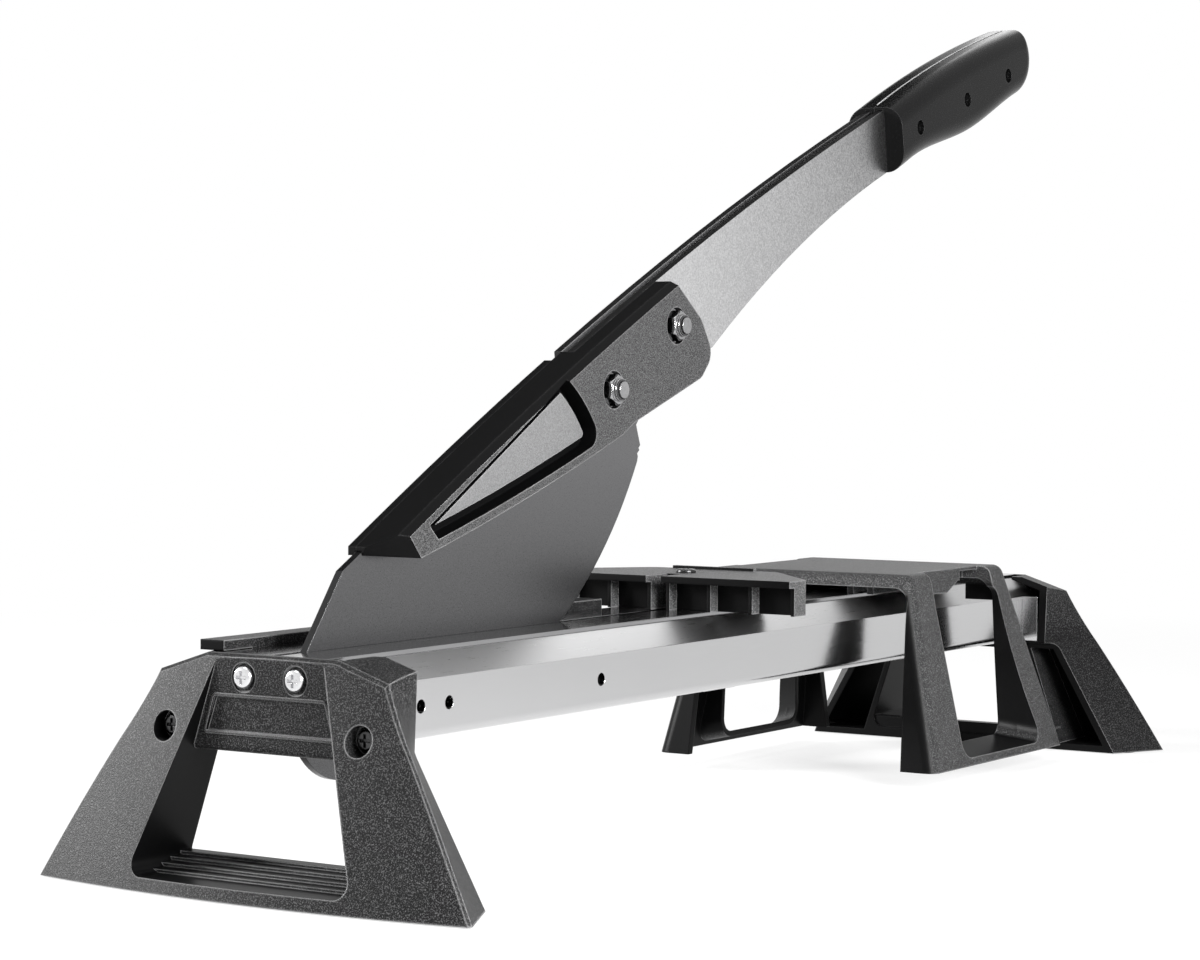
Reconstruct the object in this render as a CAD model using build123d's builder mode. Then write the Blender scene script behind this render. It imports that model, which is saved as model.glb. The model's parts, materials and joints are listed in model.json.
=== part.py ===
from build123d import *
import os
from math import acos, atan2, cos, radians, sin, sqrt

os.makedirs("parts", exist_ok=True)

# Laminate flooring cutter. Millimetres, +Z up, +X from the pivot end to the handle end.
# The near side, -Y, carries the nuts. The origin is on the floor under the middle of the
# whole length. Lengths along X are measured back from the front foot's lower outer edge.

# Whole object
base_length = 690.0
lever_reach = 652.0
bed_height = 100.0
fit_clearance = 0.2
run_clearance = 0.06
overcut = 1.0

# Feet
foot_half_width = 115.4
foot_taper = 0.51
foot_slant = 1.18
foot_wall = 3.8
foot_chamfer = 1.5
leg_depth = 34.0
leg_back_corner = 4.0
housing_depth = 40.7
housing_low_half = 86.2
housing_high_half = 56.0
housing_rear_low = 57.2
housing_rear_high = 58.7
housing_side_floor = 1.0
face_lean = 0.272
face_radius = 654.0
shoulder_drop = 0.32
shoulder_tilt = 0.12
shoulder_opening = 36.0
floor_thickness = 4.7
panel_x = 16.5
panel_wall = 4.0
panel_lip_radius = 3.0
window_sill = 6.3
window_sill_half = 59.4
window_narrowing = 0.3384
window_corner = 6.0
sill_depth = 33.0
sill_rise = 8.2
sill_steps = 5
label_low = 67.3
label_high = 82.0
label_low_half = 34.0
label_high_half = 28.9
label_depth = 1.0
leg_hole_spread = 51.4
leg_hole_height = 68.4
leg_hole_diameter = 13.0
leg_boss_wall = 2.0
leg_boss_floor = 3.0
pad_height = 0.6
pad_diameter = 14.0
pad_peg_diameter = 6.0
pad_spread = 96.0
pad_depth = 17.0

# Screws that hold the feet
panel_screw_spread = 13.7
panel_screw_height = 90.4
panel_screw_length = 26.0
panel_counterbore = 12.4
panel_counterbore_depth = 1.2
screw_diameter = 4.8
screw_head_diameter = 9.7
screw_head_height = 3.2
head_rounding = 0.6
cross_share = 0.56
cross_width = 1.3
cross_depth = 1.6
leg_screw_length = 16.0

# Rails and bed
rail_half_width = 42.7
rail_wall = 3.0
rail_low = 63.3
rail_bevel_low = 88.7
rail_bevel_half = 28.9
rail_corner = 4.0
rail_slot_half = 3.5
rail_port_diameter = 10.0
strip_thickness = 2.0
strip_slot_half = 2.3
strip_half_width = 28.0
side_hole_diameter = 6.0
side_hole_backs = (64.7, 84.9, 203.5)
ledge_height = 4.6
ledge_front = 23.0
ledge_inset = 1.0
spacer_length = 6.0
clamp_width = 12.0
clamp_height = 13.0
clamp_length = 15.0
clamp_bar_width = 9.4
clamp_bar_inset = 0.8

# Fence
fence_front = 316.0
fence_height = 17.2
fence_bar_depth = 16.0
fence_depth = 60.0
fence_half_length = 77.5
fence_block_half = 36.0
fence_rear_corner = 12.0
fence_slot_half = 4.4
fence_slot_depth = 20.0
fence_lip_height = 3.4
fence_lip_depth = 4.8
fence_pocket_depth = 7.0
fence_rib = 2.0
fence_pocket_count = 3
fence_rear_lip_height = 1.4
fence_rear_lip_depth = 3.0
fence_screw_back = 347.0
fence_screw_diameter = 6.0
fence_screw_head = 10.0
fence_screw_head_height = 1.8
fence_clamp_half = 20.0
fence_clamp_length = 30.0
fence_clamp_thickness = 4.0

# Pivot and lever layers
pivot_back = 64.7
pivot_height = 77.4
pivot_diameter = 8.0
pivot_head_height = 5.3
thrust_washer_diameter = 18.0
thrust_gap = 0.15
blade_thickness = 3.5
arm_thickness = 4.0
cover_near_depth = 17.5
hex_across_flats = 13.0
hex_chamfer = 0.9
nut_height = 6.5
nut_collar_height = 1.6
nut_collar_diameter = 11.0
bolt_diameter = 8.0
bolt_end = 1.5
nut_recess_diameter = 18.0
nut_recess_depth = 3.5

# Lever outline at rest, measured from the pivot
spine_point = (250.8, 188.9)
spine_slope = 25.1
spine_radius = 3330.0
lug_radius = 34.0
lug_gap = 1.0
heel = (-1.0, 55.5)
blade_shoulder = 18.0
blade_cap = 2.5
edge_radius = 217.5
edge_front = (28.0, -14.6)
edge_rear = (233.2, 97.1)
tip_steps = ((233.8, 99.5), (233.2, 101.0), (235.2, 102.6), (234.4, 103.6), (235.9, 104.9))
tip_top = (232.2, 115.0)
blade_root = (262.0, 150.0)
cover_nose = (12.5, 61.5)
cover_heel = (34.3, 59.8)
cover_nose_high = 24.1
cover_belly = (142.4, 92.0)
cover_waist = (195.6, 110.7)
cover_step = (205.9, 116.5)
cover_end_low = (267.8, 138.0)
cover_end_mid = (278.9, 149.5)
cover_end_high = (267.7, 166.8)
cover_end_corners = 3
cover_end_rounding = 9.0
cover_top_end = 243.0
cover_ridge = 3.0
far_cover_end = 163.0
recess_front_low = (46.9, 67.5)
recess_rear_low = (176.5, 108.3)
recess_rear_high = (149.0, 137.0)
recess_front_high = (40.5, 73.7)
recess_belly = 1.4
recess_bulge = 2.4
recess_corner = 7.0
recess_depth = 9.0
recess_channel = 5.0
recess_panel_drop = 4.5
arm_bolts_at = ((187.8, 132.3), (244.3, 163.5))
arm_root = 171.3
arm_root_low = (178.0, 110.0)
arm_low = (264.0, 142.0)
arm_edge_start = (297.6, 153.5)
arm_edge_sag = 6.6
cover_screws_at = ((52.0, 79.0), (132.0, 118.0))
cover_screw_diameter = 3.6
cover_screw_head = 7.0
cover_screw_length = 12.0

# Handle, measured from where its front meets the lever's top line
handle_length = 172.0
handle_half_width = 17.0
handle_front_top = (0.0, 1.8)
handle_front_low = (5.3, -34.0)
handle_waist = (25.3, -25.4)
handle_belly = (95.3, -5.4)
handle_slope = 20.0
handle_crown = 3.6
handle_end_radius = 22.1
handle_end_height = 41.0
handle_end_corner = 57.0
handle_rounding = 11.0
arm_edge_end = (6.3, -33.4)
tang_half_width = 9.0
tang_front = 14.0
tang_end_margin = 14.0
handle_screws_at = ((23.5, -8.3), (82.0, 11.5), (135.4, 29.6))
handle_screw_diameter = 4.0
handle_screw_head = 7.2
handle_screw_head_height = 2.6
handle_screw_length = 20.0
handle_bore_diameter = 8.4
handle_bore_depth = 6.0

# Support bridge
bridge_front_low = 456.0
bridge_rear_low = 616.0
bridge_front_top = 470.0
bridge_rear_top = 585.0
bridge_low = 9.2
bridge_top = 111.4
bridge_low_half = 85.3
bridge_top_half = 62.0
bridge_wall = 4.0
bridge_slab = 7.0
bridge_corner = 7.0
bridge_rounding = 6.0
tunnel_low_half = 65.0
tunnel_top_half = 61.4
tunnel_corner = 8.0
bridge_window_outer = ((493.0, 13.0), (494.0, 101.0), (566.0, 101.0), (591.0, 13.0))
bridge_window_inner = ((493.0, 19.0), (493.5, 101.0), (571.0, 101.0), (571.0, 19.0))
bridge_window_corner = 8.0
bridge_lining = 3.0
bridge_notch_half = 54.5
bridge_skirt = 3.0
bridge_skirt_low = 98.4
bridge_skirt_rear_low = 530.0
bridge_skirt_rear_top = 545.0
bridge_rim = 2.0
bridge_rim_depth = 9.0
bridge_rib = 4.0
bridge_rib_half = 24.0
bridge_short_rib_half = 36.0
bridge_short_rib = 44.0
bridge_rib_front = 476.0
bridge_rib_rear = 572.0
bridge_guide_gap = 0.5
bridge_guide_back = 575.0
bridge_guide_low = 92.0

# Places that follow from the sizes
face_slant = sqrt(1 + face_lean**2)
face_bow = (face_radius - sqrt(face_radius**2 - foot_half_width**2)) * face_slant
overall_length = face_bow + pivot_back + lever_reach
front_edge = face_bow - overall_length / 2
face_start = front_edge - face_bow - overcut
base_middle = Plane.YZ.offset(front_edge + base_length / 2)
strip_low = bed_height - strip_thickness
panel_back = panel_x + panel_wall
rail_start = front_edge + panel_back
rail_length = base_length - 2 * panel_back
floor_low = rail_low - floor_thickness
side_low = rail_low - housing_side_floor
blade_half = blade_thickness / 2
arm_outer = blade_half + arm_thickness
pivot_x = front_edge + pivot_back
lever_plane = Plane(origin=(pivot_x, 0, pivot_height), x_dir=(1, 0, 0), z_dir=(0, -1, 0))
spine_centre = (
    spine_point[0] + spine_radius * sin(radians(spine_slope)),
    spine_point[1] - spine_radius * cos(radians(spine_slope)),
)
fence_low = bed_height
fence_top = fence_low + fence_height
fence_x = front_edge + fence_front


def on_spine(x, drop=0.0):
    """Point of the lever's top line at x from the pivot, lowered by a drop."""
    return (x, spine_centre[1] - drop + sqrt(spine_radius**2 - (x - spine_centre[0]) ** 2))


def spine_arc(start, end, drop=0.0):
    """Stretch of the lever's top line between two places."""
    return ThreePointArc(on_spine(start, drop), on_spine((start + end) / 2, drop), on_spine(end, drop))


def from_grip(spot):
    """Place of the handle, measured from the pivot."""
    base = on_spine(lever_reach - handle_length)
    return (base[0] + spot[0], base[1] + spot[1])


def bowed(start, end, sag):
    """Arc from start to end that stands off its chord by a sag, to the left of its way."""
    run = (end[0] - start[0], end[1] - start[1])
    chord = sqrt(run[0] ** 2 + run[1] ** 2)
    middle = (
        (start[0] + end[0]) / 2 - sag * run[1] / chord,
        (start[1] + end[1]) / 2 + sag * run[0] / chord,
    )
    return ThreePointArc(start, middle, end)


def pan_screws(seat, spots, diameter, length, head_diameter, head_height):
    """Pan-head cross screws, their heads on the seat and their shanks along its normal."""
    with BuildPart() as screws:
        with BuildSketch(seat):
            with Locations(*spots):
                Circle(head_diameter / 2)
        extrude(amount=-head_height)
        tops = screws.faces().sort_by(Axis(seat.origin, seat.z_dir))[: len(spots)]
        fillet(tops.edges(), head_height * head_rounding)
        with BuildSketch(seat):
            with Locations(*spots):
                Circle(diameter / 2)
        extrude(amount=length)
        with BuildSketch(seat.offset(-head_height)):
            with Locations(*spots):
                Rectangle(head_diameter * cross_share, cross_width)
                Rectangle(cross_width, head_diameter * cross_share)
        extrude(amount=cross_depth, mode=Mode.SUBTRACT)
    return screws.part


def hexagon(across_flats):
    """Hexagon of a nut or a bolt head, with two flats level."""
    return RegularPolygon(across_flats / 2, side_count=6, major_radius=False, rotation=30)


def hex_heads(seat, spots, height):
    """Hexagon heads on a seat, with the corners of both ends turned down."""
    with BuildPart() as turned:
        with BuildSketch(seat):
            with Locations(*spots):
                Circle(hex_across_flats / sqrt(3))
        extrude(amount=height)
        chamfer(turned.edges().filter_by(GeomType.CIRCLE), hex_chamfer)
    with BuildPart() as heads:
        with BuildSketch(seat):
            with Locations(*spots):
                hexagon(hex_across_flats)
        extrude(amount=height)
        add(turned.part, mode=Mode.INTERSECT)
    return heads.part


def flipped(spots):
    """The same places on a plane that faces the other way."""
    return tuple((x, -z) for x, z in spots)


def save(piece, name):
    """Label a finished piece and write its STEP file."""
    piece.part.label = name
    export_step(piece.part, f"parts/{name}.step")


# Feet: a shell with a leg at each side of a window and a housing for the rails' ends
def foot_face(inset):
    """Large tilted cylinder whose front is the foot's bowed outer face, set in by a wall."""
    centre = (front_edge - face_bow + face_radius / face_slant, 0, -face_lean * face_radius / face_slant)
    with BuildPart() as cylinder:
        with BuildSketch(Plane(origin=centre, z_dir=(face_lean, 0, 1))):
            Circle(face_radius - inset)
        extrude(amount=bed_height * 2, both=True)
    return cylinder.part


def side_halves(height):
    """Half widths of the foot at a height, at its front edge and at the housing's rear."""
    floor = (foot_half_width, foot_half_width - foot_taper * housing_depth)
    middle = (housing_low_half, housing_rear_low)
    top = (housing_high_half, housing_rear_high)
    if height < side_low:
        start, end, share = floor, middle, height / side_low
    else:
        start, end, share = middle, top, (height - side_low) / (bed_height - side_low)
    return [low + (high - low) * share for low, high in zip(start, end)]


def foot_block(inset, levels, depth):
    """Block of the foot with twisted sides through several levels, its sides set in by a wall."""
    with BuildPart() as block:
        for level in levels:
            front_half, rear_half = side_halves(level)
            taper = (front_half - rear_half) / housing_depth
            front = front_half - inset * foot_slant + taper * (front_edge - face_start)
            rear = front_half - inset * foot_slant - taper * depth
            with BuildSketch(Plane.XY.offset(level)):
                Polygon(
                    (face_start, front),
                    (front_edge + depth, rear),
                    (front_edge + depth, -rear),
                    (face_start, -front),
                )
        loft(ruled=True)
    return block.part


def shoulder_ridges(inset):
    """Sloping tops of the two shoulders, set in by a wall."""
    return [
        Plane(
            origin=(front_edge + housing_depth, side * rail_half_width, bed_height - inset),
            z_dir=(-shoulder_tilt, side * shoulder_drop, 1),
        )
        for side in (1, -1)
    ]


def behind_legs():
    """Room behind the legs and under the sides of the housing."""
    with BuildPart() as room:
        with BuildSketch(Plane.XZ.offset(-foot_half_width)):
            with Locations((front_edge + leg_depth, 0)):
                Rectangle(housing_depth, side_low, align=Align.MIN)
        extrude(amount=foot_half_width * 2)
        corner = room.edges().filter_by(Axis.Y).sort_by(Axis.X)[:2].sort_by(Axis.Z)[-1]
        fillet(corner, leg_back_corner)
    return room.part


def window_outline(low, high, spread, corner=0.0):
    """Slanted outline between the legs, from low to high, widened by a spread."""
    low_half = window_sill_half - window_narrowing * (low - window_sill) + spread
    high_half = window_sill_half - window_narrowing * (high - window_sill) + spread
    with BuildSketch(Plane.YZ.offset(face_start)) as outline:
        Polygon((low_half, low), (high_half, high), (-high_half, high), (-low_half, low))
        if corner:
            fillet(outline.vertices().group_by(Axis.Y)[0], corner)
    return outline.sketch


with BuildPart() as foot_hollow:
    add(foot_block(foot_wall, (pad_height + foot_wall, floor_low), housing_depth + overcut))
    add(foot_block(foot_wall, (rail_low, bed_height), housing_depth + overcut))
    add(foot_face(foot_wall), mode=Mode.INTERSECT)
    for ridge in shoulder_ridges(foot_wall):
        split(bisect_by=ridge, keep=Keep.BOTTOM)
    extrude(window_outline(pad_height, rail_low, foot_wall), amount=housing_depth * 2, mode=Mode.SUBTRACT)
    panel_reach = front_edge + panel_back - face_start
    extrude(window_outline(floor_low, bed_height, foot_wall), amount=panel_reach, mode=Mode.SUBTRACT)
    with BuildSketch(Plane.YZ.offset(face_start)):
        with Locations((leg_hole_spread, leg_hole_height), (-leg_hole_spread, leg_hole_height)):
            Circle(leg_hole_diameter / 2 + leg_boss_wall)
    extrude(amount=panel_reach, mode=Mode.SUBTRACT)
    with BuildSketch(Plane.XY.offset(rail_low)):
        with Locations((front_edge + panel_back, 0)):
            Rectangle(housing_depth, shoulder_opening * 2, align=(Align.MIN, Align.CENTER))
    extrude(amount=bed_height)

with BuildPart() as front_foot:
    add(foot_block(0.0, (pad_height, side_low, bed_height), housing_depth))
    add(foot_face(0.0), mode=Mode.INTERSECT)
    for ridge in shoulder_ridges(0.0):
        split(bisect_by=ridge, keep=Keep.BOTTOM)
    face_rim = front_foot.faces().filter_by(GeomType.CYLINDER).edges()
    chamfer(face_rim.sort_by(Axis.Z)[1:], foot_chamfer)
    add(behind_legs(), mode=Mode.SUBTRACT)
    with BuildSketch(Plane.XY.offset(floor_low)):
        with Locations((front_edge + panel_back, 0)):
            Rectangle(
                housing_depth - panel_back,
                (rail_half_width + fit_clearance) * 2,
                align=(Align.MIN, Align.CENTER),
            )
    extrude(amount=floor_thickness)
    window_reach = front_edge + housing_depth - face_start
    window = window_outline(window_sill, floor_low, 0.0, window_corner)
    extrude(window, amount=window_reach, mode=Mode.SUBTRACT)
    panel = window_outline(floor_low, bed_height + overcut, 0.0)
    extrude(panel, amount=front_edge + panel_x - face_start, mode=Mode.SUBTRACT)
    lip = front_foot.edges().filter_by(Axis.Y).filter_by_position(
        Axis.X, front_edge + panel_x - overcut, front_edge + panel_x + overcut
    )
    fillet(lip.sort_by(Axis.Z)[0], panel_lip_radius)
    add(foot_hollow.part, mode=Mode.SUBTRACT)
    step_depth = sill_depth / sill_steps
    step_rise = sill_rise / sill_steps
    for step in range(sill_steps):
        with BuildSketch(Plane.YZ.offset(front_edge + step * step_depth)):
            with Locations((0, pad_height)):
                Rectangle(
                    (window_sill_half + foot_wall / 2) * 2,
                    window_sill - pad_height + step * step_rise,
                    align=(Align.CENTER, Align.MIN),
                )
        extrude(amount=step_depth)
    with BuildSketch(Plane.YZ.offset(front_edge + panel_x)):
        Polygon(
            (label_low_half, label_low),
            (label_high_half, label_high),
            (-label_high_half, label_high),
            (-label_low_half, label_low),
        )
    extrude(amount=label_depth, mode=Mode.SUBTRACT)
    panel_spots = ((panel_screw_spread, panel_screw_height), (-panel_screw_spread, panel_screw_height))
    with BuildSketch(Plane.YZ.offset(front_edge + panel_x)):
        with Locations(*panel_spots):
            Circle(panel_counterbore / 2)
    extrude(amount=panel_counterbore_depth, mode=Mode.SUBTRACT)
    with BuildSketch(Plane.YZ.offset(front_edge + panel_x)):
        with Locations(*panel_spots):
            Circle(screw_diameter / 2 + fit_clearance)
    extrude(amount=panel_wall, mode=Mode.SUBTRACT)
    leg_spots = ((leg_hole_spread, leg_hole_height), (-leg_hole_spread, leg_hole_height))
    with BuildSketch(Plane.YZ.offset(face_start)):
        with Locations(*leg_spots):
            Circle(leg_hole_diameter / 2)
    extrude(amount=panel_reach - leg_boss_floor, mode=Mode.SUBTRACT)
    with BuildSketch(Plane.YZ.offset(face_start)):
        with Locations(*leg_spots):
            Circle(screw_diameter / 2 + fit_clearance)
    extrude(amount=panel_reach, mode=Mode.SUBTRACT)
    pad_spots = ((front_edge + pad_depth, pad_spread), (front_edge + pad_depth, -pad_spread))
    with BuildSketch(Plane.XY.offset(pad_height)):
        with Locations(*pad_spots):
            Circle(pad_peg_diameter / 2 + fit_clearance)
    extrude(amount=foot_wall, mode=Mode.SUBTRACT)
    with BuildSketch(lever_plane):
        Circle(lug_radius + lug_gap)
    extrude(amount=rail_slot_half, both=True, mode=Mode.SUBTRACT)
save(front_foot, "front_foot")

with BuildPart() as rear_foot:
    mirror(front_foot.part, about=base_middle)
save(rear_foot, "rear_foot")

with BuildPart() as foot_pads:
    with BuildSketch(Plane.XY):
        with Locations(*pad_spots):
            Circle(pad_diameter / 2)
    extrude(amount=pad_height)
    with BuildSketch(Plane.XY.offset(pad_height)):
        with Locations(*pad_spots):
            Circle(pad_peg_diameter / 2)
    extrude(amount=foot_wall)
    mirror(about=base_middle)
save(foot_pads, "foot_pads")


# Screws that hold the feet
panel_seat = Plane.YZ.offset(front_edge + panel_x + panel_counterbore_depth)
with BuildPart() as front_panel_screws:
    add(
        pan_screws(
            panel_seat,
            panel_spots,
            screw_diameter,
            panel_screw_length,
            screw_head_diameter,
            screw_head_height,
        )
    )
save(front_panel_screws, "front_panel_screws")

with BuildPart() as rear_panel_screws:
    mirror(front_panel_screws.part, about=base_middle)
save(rear_panel_screws, "rear_panel_screws")

with BuildPart() as leg_screws:
    add(
        pan_screws(
            Plane.YZ.offset(front_edge + panel_back - leg_boss_floor),
            leg_spots,
            screw_diameter,
            leg_screw_length,
            screw_head_diameter,
            screw_head_height,
        )
    )
    mirror(about=base_middle)
save(leg_screws, "leg_screws")

# Blocks inside the feet: clamps beside the rails and spacers in the slot between them
with BuildPart() as rail_clamps:
    with BuildSketch(Plane.XY.offset(rail_low)):
        with Locations((rail_start, rail_half_width)):
            Rectangle(clamp_length, clamp_width, align=Align.MIN)
    extrude(amount=clamp_height)
    with BuildSketch(Plane.XY.offset(rail_low)):
        with Locations((rail_start, rail_half_width)):
            Rectangle(housing_depth - panel_back - clamp_bar_inset, clamp_bar_width, align=Align.MIN)
    extrude(amount=rail_bevel_low - rail_low)
    mirror(about=Plane.XZ)
    with BuildSketch(Plane.YZ.offset(rail_start)):
        with Locations(*leg_spots):
            Circle(screw_diameter / 2 + fit_clearance)
    extrude(amount=clamp_length, mode=Mode.SUBTRACT)
    mirror(about=base_middle)
save(rail_clamps, "rail_clamps")

with BuildPart() as rail_spacers:
    with BuildSketch(Plane.XY.offset(rail_low)):
        with Locations((rail_start, 0)):
            Rectangle(spacer_length, rail_slot_half * 2, align=(Align.MIN, Align.CENTER))
    extrude(amount=strip_low - rail_low)
    mirror(about=base_middle)
save(rail_spacers, "rail_spacers")


# Rails: hollow sections with a bevelled outer edge and a screw port
def rail_blank():
    """Near rail before it is drilled for the pivot."""
    with BuildPart() as rail:
        with BuildSketch(Plane.YZ.offset(rail_start)) as section:
            Polygon(
                (-rail_slot_half, rail_low),
                (-rail_half_width, rail_low),
                (-rail_half_width, rail_bevel_low),
                (-rail_bevel_half, strip_low),
                (-rail_slot_half, strip_low),
            )
            fillet(section.vertices().group_by(Axis.Y)[0], rail_corner)
            offset(amount=-rail_wall, mode=Mode.SUBTRACT)
            with Locations((-panel_screw_spread, panel_screw_height)):
                Circle(rail_port_diameter / 2)
                Circle(screw_diameter / 2 + fit_clearance, mode=Mode.SUBTRACT)
        extrude(amount=rail_length)
        with BuildSketch(lever_plane):
            Circle(pivot_diameter / 2 + fit_clearance)
        extrude(amount=rail_slot_half + 2 * rail_wall, mode=Mode.SUBTRACT)
    return rail.part


with BuildPart() as rail_near:
    add(rail_blank())
    with BuildSketch(Plane.XZ.offset(rail_half_width - 2 * rail_wall)):
        with Locations(*[(front_edge + back, pivot_height) for back in side_hole_backs]):
            Circle(side_hole_diameter / 2)
    extrude(amount=3 * rail_wall, mode=Mode.SUBTRACT)
save(rail_near, "rail_near")

with BuildPart() as rail_far:
    mirror(rail_blank(), about=Plane.XZ)
    with BuildSketch(lever_plane):
        Circle(pivot_diameter / 2 + fit_clearance)
    extrude(amount=-rail_half_width - overcut, mode=Mode.SUBTRACT)
save(rail_far, "rail_far")

# Bed strips and the raised edge strip on the far rail
with BuildPart() as bed_strip_near:
    with BuildSketch(Plane.XY.offset(strip_low)):
        with Locations((rail_start, -strip_slot_half)):
            Rectangle(rail_length, strip_half_width - strip_slot_half, align=(Align.MIN, Align.MAX))
        with Locations((front_edge + fence_screw_back, 0)):
            Circle(fence_screw_diameter / 2 + fit_clearance, mode=Mode.SUBTRACT)
    extrude(amount=strip_thickness)
save(bed_strip_near, "bed_strip_near")

with BuildPart() as bed_strip_far:
    mirror(bed_strip_near.part, about=Plane.XZ)
save(bed_strip_far, "bed_strip_far")

with BuildPart() as far_ledge:
    with BuildSketch(Plane.YZ.offset(front_edge + ledge_front)):
        Polygon(
            (rail_bevel_half + ledge_inset, bed_height + ledge_height),
            (rail_half_width, bed_height + ledge_height),
            (rail_half_width, rail_bevel_low),
            (rail_bevel_half, strip_low),
            (rail_bevel_half + ledge_inset, strip_low),
        )
    extrude(amount=fence_front - ledge_front - overcut)
    with BuildSketch(Plane.XZ):
        with Locations((front_edge, bed_height + fit_clearance)):
            Rectangle(housing_depth + overcut, bed_height, align=(Align.MIN, Align.MAX))
    extrude(amount=-foot_half_width, mode=Mode.SUBTRACT)
save(far_ledge, "far_ledge")

# Fence across the bed, its screw and the clamp plate under the rails
with BuildPart() as fence:
    with BuildSketch(Plane.XY.offset(fence_low)):
        Polygon(
            (fence_x, -fence_half_length),
            (fence_x + fence_bar_depth, -fence_half_length),
            (fence_x + fence_depth, -fence_block_half),
            (fence_x + fence_depth, fence_block_half),
            (fence_x + fence_bar_depth, fence_half_length),
            (fence_x, fence_half_length),
        )
    extrude(amount=fence_height)
    rear_corners = fence.edges().filter_by(Axis.Z).group_by(Axis.X)[-1]
    fillet(rear_corners, fence_rear_corner)
    recess_height = fence_height - fence_lip_height
    with BuildSketch(Plane.XY.offset(fence_low)):
        with Locations((fence_x, 0)):
            Rectangle(fence_lip_depth, fence_half_length * 2, align=(Align.MIN, Align.CENTER))
    extrude(amount=recess_height, mode=Mode.SUBTRACT)
    pocket_run = fence_half_length - fence_slot_half - fence_rib * (fence_pocket_count + 1)
    pocket_width = pocket_run / fence_pocket_count
    with BuildSketch(Plane.XY.offset(fence_low)):
        for pocket in range(fence_pocket_count):
            start = fence_slot_half + fence_rib + pocket * (pocket_width + fence_rib)
            for side in (1, -1):
                with Locations((fence_x + fence_lip_depth, side * (start + pocket_width / 2))):
                    Rectangle(fence_pocket_depth, pocket_width, align=(Align.MIN, Align.CENTER))
    extrude(amount=recess_height, mode=Mode.SUBTRACT)
    with BuildSketch(Plane.XY.offset(fence_low)):
        with Locations((fence_x, 0)):
            Rectangle(fence_slot_depth, fence_slot_half * 2, align=(Align.MIN, Align.CENTER))
        with Locations((front_edge + fence_screw_back, 0)):
            Circle(fence_screw_diameter / 2 + fit_clearance)
    extrude(amount=fence_height, mode=Mode.SUBTRACT)
    with BuildSketch(Plane.XY.offset(fence_top)):
        with Locations((fence_x + fence_depth, 0)):
            Rectangle(
                fence_rear_lip_depth,
                (fence_block_half - fence_rear_corner) * 2,
                align=(Align.MAX, Align.CENTER),
            )
    extrude(amount=fence_rear_lip_height)
save(fence, "fence")

fence_seat = Plane(
    origin=(front_edge + fence_screw_back, 0, fence_top), x_dir=(1, 0, 0), z_dir=(0, 0, -1)
)
with BuildPart() as fence_screw:
    add(
        pan_screws(
            fence_seat,
            ((0, 0),),
            fence_screw_diameter,
            fence_top - rail_low + fence_clamp_thickness,
            fence_screw_head,
            fence_screw_head_height,
        )
    )
save(fence_screw, "fence_screw")

with BuildPart() as fence_clamp_plate:
    with BuildSketch(Plane.XY.offset(rail_low)):
        with Locations((front_edge + fence_screw_back, 0)):
            Rectangle(fence_clamp_length, fence_clamp_half * 2)
            Circle(fence_screw_diameter / 2 + fit_clearance, mode=Mode.SUBTRACT)
    extrude(amount=-fence_clamp_thickness)
save(fence_clamp_plate, "fence_clamp_plate")

# Pivot bolt from the far side, its nut inside the near rail and thrust washers
with BuildPart() as pivot_bolt:
    add(hex_heads(lever_plane.offset(-rail_half_width - pivot_head_height), ((0, 0),), pivot_head_height))
    with BuildSketch(lever_plane.offset(-rail_half_width)):
        Circle(pivot_diameter / 2)
    extrude(amount=rail_half_width + rail_slot_half + rail_wall + nut_height + bolt_end)
save(pivot_bolt, "pivot_bolt")

with BuildPart() as pivot_nut:
    nut_face = lever_plane.offset(rail_slot_half + rail_wall)
    add(hex_heads(nut_face, ((0, 0),), nut_height))
    with BuildSketch(nut_face):
        Circle(pivot_diameter / 2 + fit_clearance)
    extrude(amount=nut_height, mode=Mode.SUBTRACT)
save(pivot_nut, "pivot_nut")

with BuildPart() as thrust_washers:
    with BuildSketch(lever_plane.offset(rail_slot_half)):
        Circle(thrust_washer_diameter / 2)
        Circle(pivot_diameter / 2 + fit_clearance, mode=Mode.SUBTRACT)
    extrude(amount=blade_half + thrust_gap - rail_slot_half)
    mirror(about=Plane.XZ)
save(thrust_washers, "thrust_washers")


# Lever outlines, drawn from the pivot
handle_screw_spots = tuple(from_grip(spot) for spot in handle_screws_at)


def blade_outline():
    """Blade with its round lug on the pivot and its round cutting edge."""
    reach = sqrt(heel[0] ** 2 + heel[1] ** 2)
    tangent_angle = atan2(heel[1], heel[0]) + acos(lug_radius / reach)
    tangent = (lug_radius * cos(tangent_angle), lug_radius * sin(tangent_angle))
    with BuildSketch() as outline:
        Circle(lug_radius)
        with BuildLine():
            edge = RadiusArc(edge_front, edge_rear, -edge_radius)
            top = spine_arc(blade_root[0], blade_shoulder, blade_cap)
            Polyline(edge @ 1, *tip_steps, tip_top, blade_root, top @ 0)
            Polyline(top @ 1, heel, tangent, edge @ 0)
        make_face()
    return outline.sketch


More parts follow.
